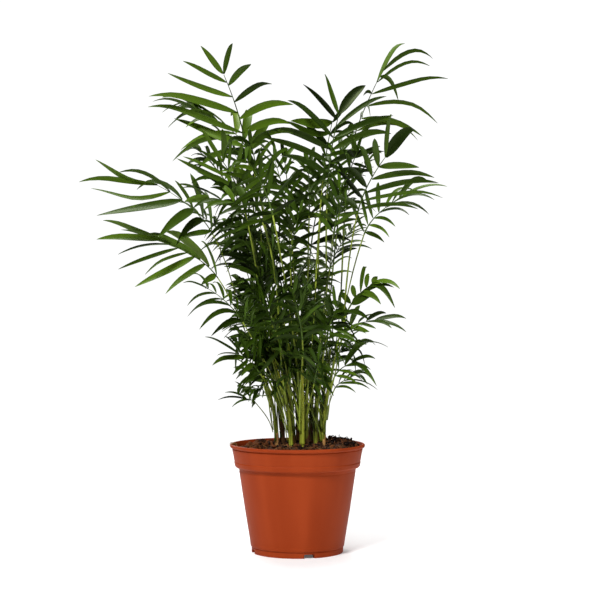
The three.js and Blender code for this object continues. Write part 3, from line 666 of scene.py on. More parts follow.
# %% Habit of the old fronds
OLD = {
    1: dict(left=((1.1, 1.4, 1.28, 1.07, 0.97, 0.95), (-2, 2, 1, 10, 14, -13)),
            right=((1.1, 0.78, 1.08, 0.93, 0.86, 1.03), (8, 28, 29, 31, 29, 28)),
            bow=(-0.04, 0.05), wide=1.15, slide=((0, 0, 8, 11, 12, 6), (0, 0, 0, 4, 8, 5))),
    2: dict(left=((1, 1.45, 1, 1, 1, 1.1, 1.2), (18, 10, 0, 4, 8, 4, 0)),
            right=((1, 1.2, 1, 1.7, 1.1, 1, 1.2), (0, 0, 0, -38, -10, -10, 0)),
            soft=((1.6, 1.4, 1, 1.2, 2, 1.5, 0.3), (1, 1, 1, 0.8, 1, 0.9, 0.3)),
            wide=((1.4, 1.4, 1, 1.5, 1.5, 1.5, 1.6), (1.6, 1.8, 1.6, 1.2, 1.3, 1.6, 1.6)),
            roll=((0, 0, 0, 20, 60, 40, 40), (0, 0, 0, 30, 40, 40, 40))),
    3: dict(left=((1, 1, 1.29, 1.19, 0.8, 1.1), (0, -10, -16, -14, -25, -45)), bow=(-0.04, 0),
            soft=(0.3, 1)),
    4: dict(left=((1, 1, 1, 1, 1.2, 1.1), (0, 0, 0, -10, -15, 0)),
            right=((1, 1, 1, 1, 1.6, 1.45), (0, 0, 0, 0, -10, 12)),
            soft=((1, 1, 1, 1, 1, 0.6), (1, 1, 1, 1, 0.4, 0.3)),
            wide=((1.3, 1.3, 1.5, 1.5, 1.5, 1.8), 1.8),
            roll=((0, 0, 0, 0, 0, 60), (0, 0, 0, 0, 30, 40))),
    5: dict(left=((0.6, 0.5, 1.1, 1.18, 1.02, 1), (40, 56, 50, 18, 13, 14)),
            right=((1, 0.9, 0.5, 0.75, 0.72, 0.95), (10, 2, 6, -24, -56, -24)),
            bow=((-0.05, 0.1, 0.03, -0.06, -0.17, -0.07), (-0.05, -0.05, -0.05, 0, 0.04, -0.2)),
            soft=(0.1, (0.1, 0.1, 0.1, 1.6, 0.4, 0.1)), roll=(0, 40),
            wide=((1.3, 1.3, 1.4, 2, 1.3, 0.9), (1.3, 2.2, 1.3, 2, 1.3, 1.3))),
    6: dict(left=((0.35, 1.06, 1.22, 1.12, 1.2, 0.85, 1.1), (30, 42, 29, 22, 34, 8, 16)),
            right=((0.8, 0.95, 0.8, 0.75, 0.7, 0.85, 1), (-12, -36, -40, -35, -30, -19, -8)),
            bow=((-0.03, -0.03, -0.05, -0.05, -0.07, 0.02, -0.03), (-0.03, -0.03, -0.13)),
            soft=0.4,
            wide=((1.2, 1.2, 1.7, 0.8, 0.8, 1.2, 1.5), (2.2, 3.2, 1.2, 1.2, 1.2, 1.2, 1.2)),
            roll=((0, 0, 0, 0, 0, 60, 0), (40, 40, 100, 40, 90, 60, 60)),
            slide=((0, 6, 8, 4, 3, 0, 0), 0)),
    7: dict(left=((1.6, 1.35, 1.55, 1.4, 1.3, 1.1), (8, 6, -2, 3, 2, 4)),
            right=((1, 1, 1, 1, 0.85, 1), (0, 0, 0, 0, 0, 12)),
            soft=((1, 1, 0.8, 1, 0.9, 0.3), (1, 1, 1, 1, 1, 0.3)),
            wide=((1.2, 1.2, 1.2, 0.8, 1, 0.8), 1)),
    8: dict(left=((0.8, 0.85, 0.8, 1.1, 1.65, 1.5), (0, 0, 4, 8, 2, -2)),
            right=((1, 0.9, 0.7, 0.6, 0.85, 1.35), (0, 0, 0, 5, 5, -8)),
            bow=(-0.03, (-0.03, -0.06)), soft=0.4,
            wide=((1.15, 1.15, 1.15, 1.15, 1.5, 0.8), 1.15)),
    9: dict(left=((1, 1.1, 1.15), (0, -9, -13)), right=((0.7, 1.1, 0.85), (0, 0, 0)), soft=0.4,
            wide=0.85),
    11: dict(left=((0.8, 1, 1.05, 1.1, 1.07, 1.15), (4, 24, 34, 18, 10, 15)),
             right=((0.7, 0.8, 1, 1, 1.2, 0.9), (-3, 9, 8, -6, 1, -14)), bow=0.02,
             wide=(1.2, (1.2, 1.2, 1.2, 1.2, 1.2, 1.6)), slide=((0, 0, 0, 0, 8, 0), 0)),
    12: dict(left=((1, 1, 1, 1.2, 2.2, 2.1), (0, 0, 0, 20, 40, 68)),
             bow=((0, 0, 0, 0, -0.16, -0.09), 0), soft=(0.2, 1), wide=((1, 1, 1, 1.5, 2.2, 2), 1),
             roll=((0, 0, 0, 0, 30, 0), 0)),
    14: dict(left=((0.6, 0.5, 0.5, 0.5, 0.3, 0.94, 0.9), (30, 40, 45, 50, 60, -42, -90)),
             right=((0.65, 0.8, 0.8, 0.95, 1.38, 1.1, 1.04), (-25, 0, 30, 12, 8, 6, 14)),
             bow=(0.03, (0.03, 0.03, 0.03, 0.03, -0.05, 0.03, 0.03)),
             soft=(0.7, (0.7, 0.7, 0.7, 0.7, 0.15, 0.7, 0.7)),
             wide=((0.72, 0.72, 0.72, 0.72, 0.72, 1, 0.72), 0.72),
             roll=((0, 0, 0, 0, 0, 70, 0), 0), slide=((0, 0, 0, 0, 0, 0, -8), 0)),
    15: dict(left=((1.1, 0.95, 0.8, 0.85, 0.85, 1.5), (-5, 0, 5, 10, 8, 0)),
             right=((0.9, 1.15, 1.2, 1.05, 0.75, 1.15), (2, -9, -5, 3, -2, -29)),
             bow=(-0.01, (-0.01, -0.03, 0.03, -0.02, -0.08, -0.01)), soft=0.8,
             wide=(1.3, (0.9, 0.6, 1.3, 1.3, 1.2, 1.9)), slide=(0, (0, -3, -7, -3, 0, 0))),
    16: dict(right=((0.5, 0.6, 0.9, 1.1), (20, 10, 0, -5))),
    17: dict(left=((0.7, 0.6, 0.6, 1.4, 0.8, 0.45), (0, 0, 0, 8, 20, 0)),
             right=((0.6, 1, 1.45, 0.8, 1.2, 1.5), (0, -42, -33, -5, 12, -4)),
             bow=(0, (0, 0, 0, 0, 0.12, 0)), soft=(1, (1, 1, 0.6, 1, 1, 1.2)),
             wide=(1.35, (1.35, 2.4, 1.35, 1.35, 1.5, 1.35)), slide=(0, (0, 0, 0, 0, 5, 0))),
    18: dict(left=((0.8, 0.8, 0.6, 0.7, 1.05), (0, 0, 0, 0, 0)),
             right=((0.7, 0.8, 0.7, 0.9, 1.05), (0, 20, 5, 0, 16)), bow=-0.03, soft=0.3,
             wide=(1.2, (1.2, 1.2, 1.2, 1.2, 1.8))),
    19: dict(wide=0.75),
    20: dict(left=((1, 1, 1.35, 1.1), (0, 0, -12, -15)),
             right=((0.9, 1, 1.1, 1.6), (0, 0, -10, 20)), soft=(0.7, (0.7, 0.7, 0.7, 1.2)),
             wide=((0.8, 0.8, 1.9, 0.8), (0.9, 0.8, 0.8, 0.9))),
    21: dict(right=((1, 1.15, 1.45, 1.5), (0, 5, 12, 22)), wide=0.75),
}
FURTHER = {14: np.array([4, 0, 13])}  # how far past the solid's a rib ends, in millimetres
STRAY = {"old": 5, "outer": 12, "inner": 22, "between": 26, "young": 36}  # in degrees
DENSE_BELOW = 420  # height in millimetres under which leaflets also grow between the pairs
EVEN = (1, 0)
STUNTED = {0.62: (36, 37, 39, 41), 0.4: (31, 35, 55, 65, 66, 67)}  # their share of the length
OLD.update({number: dict(left=(share, 0), right=(share, 0))
            for share, numbers in STUNTED.items() for number in numbers})


# %% Leaflets that have aged
def spread(values, q):
    """Values spaced evenly from q = 0 to q = 1, read off at q with straight lines between."""
    values = np.atleast_1d(values)
    return np.interp(q, np.linspace(0, 1, len(values)), values)


def aged(leaf, row, stray, left=EVEN, right=EVEN, bow=0, soft=1, wide=1, roll=0, slide=0):
    """Each leaflet longer by its side's share and turned from the rib: way cos a - ahead sin a.

    Chance turns it further by up to stray degrees, shortens it by up to a stray's hundredth, and
    where it strays widely makes one in seven limp. Bow adds to the arch, soft and wide are shares
    of the droop and the width, roll turns the blade in degrees, and slide moves its root along
    the rib in millimetres. Each of these is one value, or one for the left and one for the right.
    """
    q = leaf["pair"] / (row["pairs"] - 1)

    def of_side(value):
        """One number for each leaflet: where there are two values, the one of its own side."""
        on_left, on_right = value if isinstance(value, tuple) else (value, value)
        return np.where(leaf["sign"] > 0, spread(on_right, q), spread(on_left, q))

    share, turn, bow, soft, wide, roll, slide = (
        of_side(value) for value in (*zip(left, right), bow, soft, wide, roll, slide))
    number, place = leaf["frond"], leaf["pair"] * leaf["sign"]
    share = share * (1 - stray / 100 * (0.5 + 0.5 * chance(number, place, 15)))
    turn = np.radians(turn + stray * chance(number, place, 16))[:, None]
    ahead = leaf["forward"] * leaf["sign"][:, None]
    way = leaf["way"] * np.cos(turn) - ahead * np.sin(turn)
    ahead = ahead * np.cos(turn) + leaf["way"] * np.sin(turn)
    limp = np.clip((chance(number, place, 17) - 0.7) / 0.3, 0, 1) * (stray > STRAY["old"])
    return {**leaf, "way": way, "forward": ahead * leaf["sign"][:, None],
            "root": leaf["root"] + leaf["along"] * slide[:, None],
            "length": leaf["length"] * share, "bow": bow, "limp": limp,
            "droop": leaf["droop"] * soft, "width": leaf["width"] * wide, "roll": roll}


# %% The leaflets of the solid's fronds
grown, missing = [], 0
for number, (row, path) in enumerate(zip(rows, paths)):
    habit = OLD.get(number + 1, {})
    neck, leave, tip, arrive = path["blade"]
    drawn = {**path, "blade": (neck, leave, tip + FURTHER.get(number + 1, 0), arrive)}
    leaf, lost = grown_leaflets(number, row, path, drawn)
    path["blade"] = drawn["blade"]
    stray = STRAY["old" if number + 1 in OLD else "outer" if number < INNER else "inner"]
    grown.append(aged(leaf, row, stray, **habit))
    missing += lost
    if number >= INNER and row["tip"][2] < DENSE_BELOW:
        grown.append(aged(between_leaflets(number, row, path), row, STRAY["between"]))
print(sum(len(leaf["length"]) for leaf in grown), "leaflets;", missing, "had no room")

# %% [markdown]
# ## Young fronds in the middle
# The middle of a parlour palm is full: every cane also carries young fronds that have not
# reached the light yet. The solid model leaves them out, because they stay inside the crown and
# would cost more faces than all the rest. They follow the same rule of tiers, all the way round,
# with short drooping leaflets whose upper faces look out. Low between the stalks the newest ones
# stand almost upright, and four larger ones have reached the outside.

# %% Young fronds
YOUNG = [
    frond(4, (-44, -26, 440), (-58, -48, 512), (-98, 24), 6, 84, 1.3, open=(64, 28), droop=0.3),
    frond(1, (-58, -30, 400), (-86, -56, 452), (-100, 40), 6, 62, 1.2, open=(58, 24), droop=0.34),
    frond(9, (52, -34, 424), (74, -58, 500), (-80, 20), 6, 62, 0.9, open=(62, 28), droop=0.24),
    frond(1, (-78, 6, 440), (-124, 14, 506), (-95, 60), 6, 62, 1.6, open=(56, 22), droop=0.36),
]
YOUNG_TIERS = [
    (9, 0, 360, 50, 212, 22, 42, 5), (13, 0, 360, 60, 268, 26, 52, 6),
    (12, 20, 380, 56, 328, 30, 56, 6), (6, 70, 310, 50, 402, 34, 58, 6),
]
UPRIGHT_TIERS = [(7, 190, 350, 30, 250, 14, 50, 5), (5, 20, 160, 30, 258, 14, 50, 5)]
# the young fronds' low shade is painted shade: they grow inside the crown, where little light
# reaches
short = {"shade": 0.8, "droop": 0.26, "open": (52, 20), "fold": 4, "slim": 0.85,
         "middle": (-20, 0, 0)}
YOUNG += tier_fronds(YOUNG_TIERS, [0] * len(CANES), look=0, turn=80, **short)
# the upright ones low between the stalks get the darkest painted shade, under the whole crown
YOUNG += tier_fronds(UPRIGHT_TIERS, [0] * len(CANES), look=0, turn=40,
                     **{**short, "shade": 0.2, "droop": 0.1, "open": (30, 12), "fold": 0})
for row in YOUNG:
    number = len(rows)
    place = 0.9 * (number % 5) - 0.7  # where it leaves its cane, between the fronds of the solid
    path = route(row, place, 0)
    tries = any_try(number, np.arange(2 * row["pairs"]))
    for leaf in (paired_leaflets(number, row, path, tries), between_leaflets(number, row, path)):
        grown.append(aged(leaf, row, STRAY["young"], **OLD.get(number + 1, {})))
    rows.append(row)
    paths.append(path)
    order.append(place)
leaves = {key: np.concatenate([leaf[key] for leaf in grown]) for key in grown[0]}
print(len(rows) - len(nodes), "young fronds;", len(leaves["length"]), "leaflets in all")

# %% [markdown]
# ## The leaflet's surface
# A leaflet is a narrow lance: drawn in at its root, widest before the middle, and running out to
# a fine tip. Across, it is a shallow trough with the midrib at the bottom, and a thin keel under
# it. Four lines of points carry all this: two margins, the midrib on top, and the keel. The
# midline adds to the droop a slight bow, a curve towards the frond's end, and a tip that hangs.
# The blade also twists a little, which is what makes real foliage glint unevenly.

# %% A blade from four lines
ALONG = np.array([0.0, 0.05, 0.13, 0.24, 0.37, 0.50, 0.63, 0.75, 0.86, 0.94, 0.985])
HALF = np.array([0.20, 0.44, 0.74, 0.94, 1.0, 0.97, 0.88, 0.72, 0.48, 0.25, 0.08])
LINES = 4
TROUGH = np.radians(21)
CURL, ARCH, HOOK = (0.10, 0.10), (0.045, 0.03), (0.35, 0.35)  # usual, and how far chance goes


def leaflet_surfaces(leaf):
    """Rings of four points for every leaflet at every station, and the leaflets' tips.

    Midline: root + way u L - up droop L u^2 + forward curl L (u^2 - 0.6 u) + up arch L sin(pi u),
    less a hook that grows with the square of how far u is past 0.6. A limp leaflet loses reach and
    height from u = 0.5 on. Margins stand half a width to each side, raised by the trough's angle;
    the keel lies a thickness below.
    """
    length = leaf["length"][:, None]
    number, pair = leaf["frond"][:, None], leaf["pair"][:, None] * leaf["sign"][:, None]
    curl = CURL[0] + CURL[1] * chance(number, pair, 5)
    arch = ARCH[0] + ARCH[1] * chance(number, pair, 6) + leaf["bow"][:, None]
    hook = HOOK[0] + HOOK[1] * chance(number, pair, 7)
    twist = np.radians(10 + np.where(number < INNER, 40, 65) * chance(number, pair, 8))
    roll = np.radians(leaf["roll"][:, None])
    upper = np.cross(leaf["way"], leaf["forward"])
    ahead = leaf["forward"] * leaf["sign"][:, None]

    def midline(u):
        """Points of every leaflet's midline at the shares u of its length."""
        u = np.broadcast_to(u, (len(length), len(u)))
        over = leaf["limp"][:, None] * np.maximum(0, u - 0.5) ** 1.5
        reach = leaf["way"][:, None] * (length * (u - over))[..., None]
        fall = length * (leaf["droop"][:, None] * u ** 2 + hook * np.maximum(0, u - 0.6) ** 2
                         + 1.9 * over)
        side = ahead[:, None] * (length * curl * (u ** 2 - 0.6 * u))[..., None]
        rise = UP * (length * arch * np.sin(np.pi * u))[..., None]
        return leaf["root"][:, None] + reach - UP * fall[..., None] + side + rise

    centre = midline(ALONG)
    heading_on = unit(midline(ALONG + 0.01) - midline(ALONG - 0.01))
    turn = (roll + twist * ALONG)[..., None]
    across = leaf["forward"][:, None] * np.cos(turn) + upper[:, None] * np.sin(turn)
    across = unit(across - heading_on * (across * heading_on).sum(-1, keepdims=True))
    top = np.cross(heading_on, across)
    half = (leaf["width"][:, None] / 2 * HALF)[..., None]
    keel = 0.3 + 0.45 * (1 - ALONG)[None, :, None]
    out, raised = across * half * np.cos(TROUGH), top * half * np.sin(TROUGH)
    rings = np.stack([centre + out + raised, centre, centre - out + raised, centre - top * keel],
                     axis=2)
    return rings, midline(np.array([1.0]))[:, 0]


rings, tips = leaflet_surfaces(leaves)
print("leaflet surfaces:", rings.shape, "longest", round(float(leaves["length"].max()), 1), "mm")


# %% Coordinates and creases
def leaflet_uv(count):
    """u runs along a leaflet; v is 0 to 1 over its upper side and 1 to 2 over its lower one."""
    i, j = np.meshgrid(np.arange(len(ALONG) - 1), np.arange(LINES), indexing="ij")
    u = np.stack([ALONG[i], ALONG[i], ALONG[i + 1], ALONG[i + 1]], axis=-1)
    v = np.stack([j, j + 1, j + 1, j], axis=-1) / 2
    quads = np.stack([u, v], axis=-1).reshape(-1, 2)
    j = np.arange(LINES)
    last = ALONG[-1] + 0 * j
    foot = np.stack([0 * j, (j + 1) / 2, 0 * j, j / 2, 0 * j, (j + 0.5) / 2], axis=-1)
    tip = np.stack([last, j / 2, last, (j + 1) / 2, 0 * j + 1, (j + 0.5) / 2], axis=-1)
    ends = np.concatenate([foot, tip]).reshape(-1, 2)
    return np.concatenate([np.tile(quads, (count, 1)), np.tile(ends, (count, 1))])


def crease_margins(piece):
    """Marks the edges along both margins sharp, so that upper and lower side shade apart."""
    edges = piece.data.edges
    ends = np.empty(2 * len(edges), np.int32)
    edges.foreach_get("vertices", ends)
    line = np.arange(len(ALONG) * LINES + 2)
    line = np.where(line % 2 == 0, line % LINES, -1)  # 0 and 2 are the margins
    line[-2:] = -1  # the foot and the tip
    label = line[ends.reshape(-1, 2) % len(line)]
    edges.foreach_set("use_edge_sharp", (label[:, 0] == label[:, 1]) & (label[:, 0] >= 0))


# %% [markdown]
# ## Green in four shades
# New fronds are a fresh yellow green and old ones a deep blue green. Leaflets in the middle of the
# clump and at the back are the darkest: that is painted shade, for the crown hangs over them. Each
# frond's shade stands for its age and for the painted shade where it lies, and chance moves a
# leaflet up or down by part of a shade. The leaflets of one shade are joined into one piece. The
# finish is a satin skin with faint streaks along the leaflet and a duller, paler lower side.

# %% Leaf finishes
# low and high colour of each shade; the near-black low ends of deep and dark are painted shade for
# the inside of the clump
SHADES = {
    "deep": (tint(4, 10, 1), tint(38, 58, 9)),
    "dark": (tint(12, 23, 2), tint(60, 85, 16)),
    "green": (tint(28, 45, 6), tint(78, 105, 22)),
    "fresh": (tint(54, 74, 12), tint(98, 122, 30)),
}


def leaf_finish(name, low, high):
    """Satin green: streaks from stretched noise over the leaflet's own coordinates."""
    skin = Finish(f"leaf_{name}", specular_ior_level=0.2, specular_tint=(0.72, 0.9, 0.42, 1))
    uv = skin.node("ShaderNodeUVMap", {"uv_map": "along"})
    v = skin.node("ShaderNodeSeparateXYZ", None, {0: uv}, output=1)
    clouds = skin.noise(45, 3.0)
    fine = skin.node("ShaderNodeTexNoise", {"noise_dimensions": "2D"}, {
        "Vector": skin.node("ShaderNodeMapping", None, {"Vector": uv, "Scale": (1.5, 26, 1)}),
        "Scale": 1.0, "Detail": 2.0})
    colour = skin.colour(skin.tone() * 0.85 + clouds * 0.25 + fine * 0.2 - 0.1, low, high)
    under = v > 1.0
    pale = tuple(0.7 * a + 0.3 * b for a, b in zip(high, tint(96, 122, 56)))
    colour = skin.colour(under * 0.4, colour, pale)
    skin.paint(colour)
    skin.rough(0.3 + 0.22 * under + 0.14 * clouds)
    skin.relief(fine, 0.25, 0.0003)
    return skin


number, pair = leaves["frond"], leaves["pair"] * leaves["sign"]
shade = np.array([row["shade"] for row in rows])[number] + 0.75 * chance(number, pair, 10)
# painted shade: fronds in the middle of the clump and at the back are a quarter of a shade darker
shade = np.where(number >= INNER, shade - 0.25, shade)
band = np.clip(np.round(shade), 0, len(SHADES) - 1).astype(int)
for index, (name, (low, high)) in enumerate(SHADES.items()):
    own = band == index
    fronds = [nodes[n] for n in np.unique(number[own]) if n < len(nodes)]
    piece = add_piece(f"leaflets_{name}", tubes(rings[own], tips[own]),
                      leaf_finish(name, low, high), fronds, uv=leaflet_uv(int(own.sum())),
                      tone=0.5 + 0.5 * chance(number[own], pair[own], 11))
    crease_margins(piece)

# %% [markdown]
# ## Petioles and ribs
# The petiole is a stalk about 2 mm thick where it meets the rib and half as much again at the
# cane, flat with a shallow channel on its upper face and round below. The rib goes on from it
# and thins out to the tip. Both are one ring of eight points carried along the frond's curves;
# at the neck the finish changes from pale to mid green.

# %% Stalks along the curves
def stalk_rings(centre, normal, side, half_width, depth):
    """Eight points round: an oval of the section's width and depth with its top pressed in."""
    angle = np.arange(8) * np.pi / 4
    lift = np.where(np.sin(angle) > 0, 0.35 * np.sin(angle), np.sin(angle))
    wide = side[:, None] * (half_width[:, None] * np.cos(angle))[..., None]
    high = normal[:, None] * (depth[:, None] * (0.5 * lift - 0.5))[..., None]
    ring = centre[:, None] + wide + high
    ring[:, 2] -= normal * (depth * 0.12)[:, None]
    return ring[:, ::-1]


STALKS = {  # curve, rings, half width and depth in mm at its start and at its end
    "petioles": ("petiole", 18, (1.35, 0.9), (1.7, 1.2)),
    "ribs": ("blade", 24, (1.1, 0.45), (1.3, 0.7)),
}


def stalk(path, slim, curve, rings, half, deep):
    """Rings along one of a frond's curves; a petiole's face turns from the cane to the sky."""
    t, face = np.linspace(0, 1, rings), path["face"]
    if curve == "petiole":
        t = t ** 1.15  # closer set at the cane, where it bends
        face = mix(-path["out"], face, (t * t * (3 - 2 * t))[:, None])
    centre, _, normal, side = frames(path[curve], face, t)
    return stalk_rings(centre, normal, side, slim * mix(*half, t), slim * mix(*deep, t))


def stalk_finish(name, low, high):
    """Smooth green stalk: its own tone, long pale streaks and faint specks."""
    skin = Finish(name, specular_ior_level=0.25)
    streak = skin.noise(260, 2.0, stretch=(1, 1, 0.08))
    specks = skin.noise(900, 1.0).between(0.62, 0.72)
    bright = skin.tone() * 0.62 + streak.between(0.38, 0.6) * 0.5 - specks * 0.2
    skin.paint(skin.colour(bright, low, high))
    skin.rough(0.42 + 0.15 * streak + 0.1 * specks)
    skin.relief(streak, 0.3, 0.0003)
    return skin


# a tone for each cane by chance, but the five at the back are near 0: painted shade from the clump
# in front
CANE_TONES_AND_SHADE = np.array([0.7, 0.0, 0.6, 0.25, 0.0, 1.0, 0.6, 0.0, 0.3, 0.1, 0.7, 0.0])


def tones(canes, seed, stray=0.12):
    """The tone of each body's cane, with the painted shade of the back canes, strayed from by
    chance.
    """
    return np.clip(CANE_TONES_AND_SHADE[canes] + stray * chance(np.arange(len(canes)), seed, 3), 0, 1)


greens = {"petioles": stalk_finish("petiole_green", tint(30, 46, 10), tint(136, 152, 46)),
          "ribs": stalk_finish("rib_green", tint(26, 42, 8), tint(74, 98, 28))}
carriers = [row["cane"] for row in rows]
for name, sizes in STALKS.items():
    stalks = np.array([stalk(path, row["slim"], *sizes) for path, row in zip(paths, rows)])
    add_piece(name, tubes(stalks), greens[name], nodes, tone=tones(carriers, 5, stray=0.35))

# %% [markdown]
# ## Canes and sheaths
# A young cane is ringed: every centimetre or two a scar shows where an old frond fell off. It is
# also wrapped by the sheaths of the fronds that it carries. A sheath is a sleeve whose mouth stands
# higher where its petiole leaves it. The lowest sheaths have dried to brown paper with a torn
# edge. Sleeves are closed surfaces with a thin wall, so they look right from any side.

# %% Ringed canes
LEAN_CANE = 0.68  # the cane under its sheaths, as a share of the solid cane, which stands for both
ROOTED = 3.5  # how far a cane's foot goes down into the peat
SCARS = {"count": 8, "first": 7, "apart": 13, "stray": 2.5, "ridge": 0.32, "groove": 0.18}  # mm


def cane_rings(index):
    """Rings up a cane: its radius plus a ridge at each scar and a groove above the ridge."""
    height = CANES[index][2]
    t = np.linspace(0, 0.985, 76)
    radius = LEAN_CANE * cane_radius(index, t)
    rise = t * height
    for scar in range(SCARS["count"]):
        at = SCARS["first"] + SCARS["apart"] * scar + SCARS["stray"] * chance(index, scar, 1)
        radius = radius + SCARS["ridge"] * np.exp(-((rise - at) / 0.9) ** 2)
        radius = radius - SCARS["groove"] * np.exp(-((rise - at - 1.8) / 0.8) ** 2)
    centre = cane_axis(index, t)
    centre[0, 2] -= ROOTED
    return centre[:, None] + turned(radius[:, None], np.arange(16) * np.pi / 8, 0)


cane_skin = stalk_finish("cane_green", tint(30, 36, 12), tint(176, 178, 52))
cane_nodes = [f"cane_{index + 1:02d}" for index in range(len(CANES))]
canes = np.array([cane_rings(index) for index in range(len(CANES))])
add_piece("canes", tubes(canes), cane_skin, cane_nodes, tone=tones(range(len(CANES)), 8))

# %% Sheaths
def sleeve(cane, low, high, facing, swell, wall, torn, seed):
    """A closed sleeve round a cane from low to high (mm over the peat), 24 points round.

    Its mouth stands higher towards the petiole, by the square of the half cosine, and there the
    sleeve swells to hold the petiole's foot. A torn mouth adds chance to its height.
    """
    point = np.arange(24)
    angle = point * np.pi / 12
    toward = (1 + np.cos(angle - facing)) / 2
    mouth = high - 5 + 13 * toward ** 2 + torn * chance(seed, point, 1)
    share = np.concatenate([np.linspace(0, 1, 9), [0.97, 0.7, 0.3, 0.0]])[:, None]
    inner = np.concatenate([np.zeros(9), np.ones(4)])[:, None]
    rise = mix(low, mouth, share)
    t = np.clip(rise / CANES[cane][2], 0, 0.98)
    radius = LEAN_CANE * cane_radius(cane, t) + 0.15
    radius = radius + swell * np.exp(-((1 - toward) / 0.12)) * share ** 2
    radius = radius + (wall + 0.2 * share ** 3) * (1 - inner) + 0.1 * share * inner
    return cane_axis(cane, t) * (1, 1, 0) + turned(radius, angle, PEAT_TOP + GAP + rise)


def closed_sleeves(sleeves):
    """Sleeves whose last ring meets their first: quads only, with no ends to cap."""
    count, steps, columns, _ = sleeves.shape
    quads = for_each(ring_faces(steps, columns, closed=True), count, steps * columns)
    return sleeves.reshape(-1, 3), quads, np.zeros((0, 3), int)


green, dry = [], []
for row, path, place in zip(rows, paths, order):
    rise = path["foot_t"] * CANES[row["cane"]][2]
    facing = math.atan2(path["out"][1], path["out"][0])
    green.append(sleeve(row["cane"], max(1.0, rise - 16), rise + 3, facing, swell=0.8,
                        wall=0.15 + 0.04 * (5 - place), torn=0, seed=place))
DRY = [  # cane, height of the mouth, tone from dark to tan
    (0, 10, 0.95), (1, 27, 0.1), (1, 13, 0.35), (3, 15, 0.7), (4, 19, 0.15), (6, 6, 0.8),
    (7, 22, 0.1), (8, 9, 0.35), (10, 5, 0.9), (11, 17, 0.2),
]
for index, (cane, top, tone) in enumerate(DRY):
    dry.append(sleeve(cane, -2.5, top, 3.1 * chance(cane, top, 3), swell=1.0, wall=0.45,
                      torn=4.5, seed=index))

sheath_skin = stalk_finish("sheath_green", tint(30, 44, 12), tint(160, 168, 52))
paper_skin = Finish("sheath_paper", roughness=0.8, specular_ior_level=0.3)
streak = paper_skin.noise(300, 3.0, stretch=(1, 1, 0.1))
dried = paper_skin.colour(paper_skin.tone(), tint(62, 34, 16), tint(196, 146, 86))
paper_skin.paint(paper_skin.colour(streak.between(0.3, 0.6), tint(44, 24, 12), dried))
paper_skin.relief(streak, 0.6, 0.0006)
add_piece("sheaths", closed_sleeves(np.array(green)), sheath_skin, nodes,
          tone=tones(carriers, 13, stray=0.25))
add_piece("dry_sheaths", closed_sleeves(np.array(dry)), paper_skin, cane_nodes,
          tone=[tone for _, _, tone in DRY])

# %% [markdown]
# ## Peat
# Potting peat is a crumbly brown bed with lighter fibres through it. It isn't level: here it is
# heaped to the left and piled to the right, where dry bits stand over the rim. The bed is a
# round grid whose height is a few octaves of smooth noise. Loose crumbs are twenty-sided lumps
# with every corner pushed in or out by chance, and fibres are thin bent threads lying on top.

# %% The bed
WALL = 1.9
BODY = {"low": 7.3, "high": 105.5, "radii": (59, 74.2)}
COLLAR = {"low": 108, "high": 131.8, "radii": (78.7, 82.7)}
BED_EDGE = 77.6  # radius at which the bed meets the pot


def pot_inside(z):
    """Inner radius of the pot at a height: two straight tapers that meet under the collar."""
    body, collar = (mix(*part["radii"], (z - part["low"]) / (part["high"] - part["low"]))
                    for part in (BODY, COLLAR))
    return np.where(z > COLLAR["low"], collar, body) - WALL


def lumps(x, y, size, seed):
    """Smooth noise: chance at the corners of a square net, eased between them."""
    x, y = x / size, y / size
    i, j = np.floor(x), np.floor(y)
    u, v = x - i, y - j
    u, v = u * u * (3 - 2 * u), v * v * (3 - 2 * v)
    low = mix(chance(i, j, seed), chance(i + 1, j, seed), u)
    high = mix(chance(i, j + 1, seed), chance(i + 1, j + 1, seed), u)
    return mix(low, high, v)


HEAPS = [(-50, -22, 7.0, 17), (58, 30, 7.0, 20), (70, 6, 5.0, 12), (40, 46, 6.0, 16),
         (30, -44, 2.0, 20), (-30, 52, 2.5, 22), (8, 10, 2.0, 30)]  # place, height, width in mm


def peat_height(x, y):
    """Height of the peat: a shallow dish, four octaves of noise and the heaps."""
    radius = np.hypot(x, y)
    height = np.interp(radius, [0, 46, 66, 80], [132.2, 131.6, 128.8, 126.2])
    for octave, (size, rise) in enumerate([(21, 1.6), (9, 1.5), (4, 1.3), (1.9, 0.8)]):
        height = height + rise * lumps(x, y, size, octave + 1)
    for hx, hy, rise, wide in HEAPS:
        height = height + rise * np.exp(-((x - hx) ** 2 + (y - hy) ** 2) / wide ** 2)
    return height


def peat_bed():
    """Closed body: 84 rings of 220 points over the top, then down the pot's wall to its floor."""
    radius = np.concatenate([BED_EDGE * np.linspace(0.012, 1, 84), np.zeros(3)])[:, None]
    angle = np.linspace(0, 2 * np.pi, 220, endpoint=False)
    z = peat_height(radius * np.cos(angle), radius * np.sin(angle))
    for step, height in ((-3, 112.0), (-2, 104.0), (-1, 8.0)):
        radius[step], z[step] = pot_inside(height) - 0.9, height
    return tubes(turned(radius, angle, z)[None, ::-1])


peat_skin = Finish("moist_peat", roughness=0.95)
grain = peat_skin.noise(420, 4.0, roughness=0.7)
clods = peat_skin.noise(70, 3.0)
peat_skin.paint(peat_skin.colour((grain * 0.7 + clods * 0.5).between(0.42, 0.8),
                                 tint(17, 7, 3), tint(92, 52, 26)))
peat_skin.relief(grain, 0.8, 0.0012)
add_piece("peat_bed", peat_bed(), peat_skin, ["peat"])

# %% Crumbs
SOWN = 74.0  # radius over which the loose bits are strewn
EDGE = 77  # radius that none of them passes


def held(x, y, radius):
    """Places drawn in to a radius where they lie past it."""
    over = np.maximum(np.hypot(x, y) / radius, 1)
    return x / over, y / over


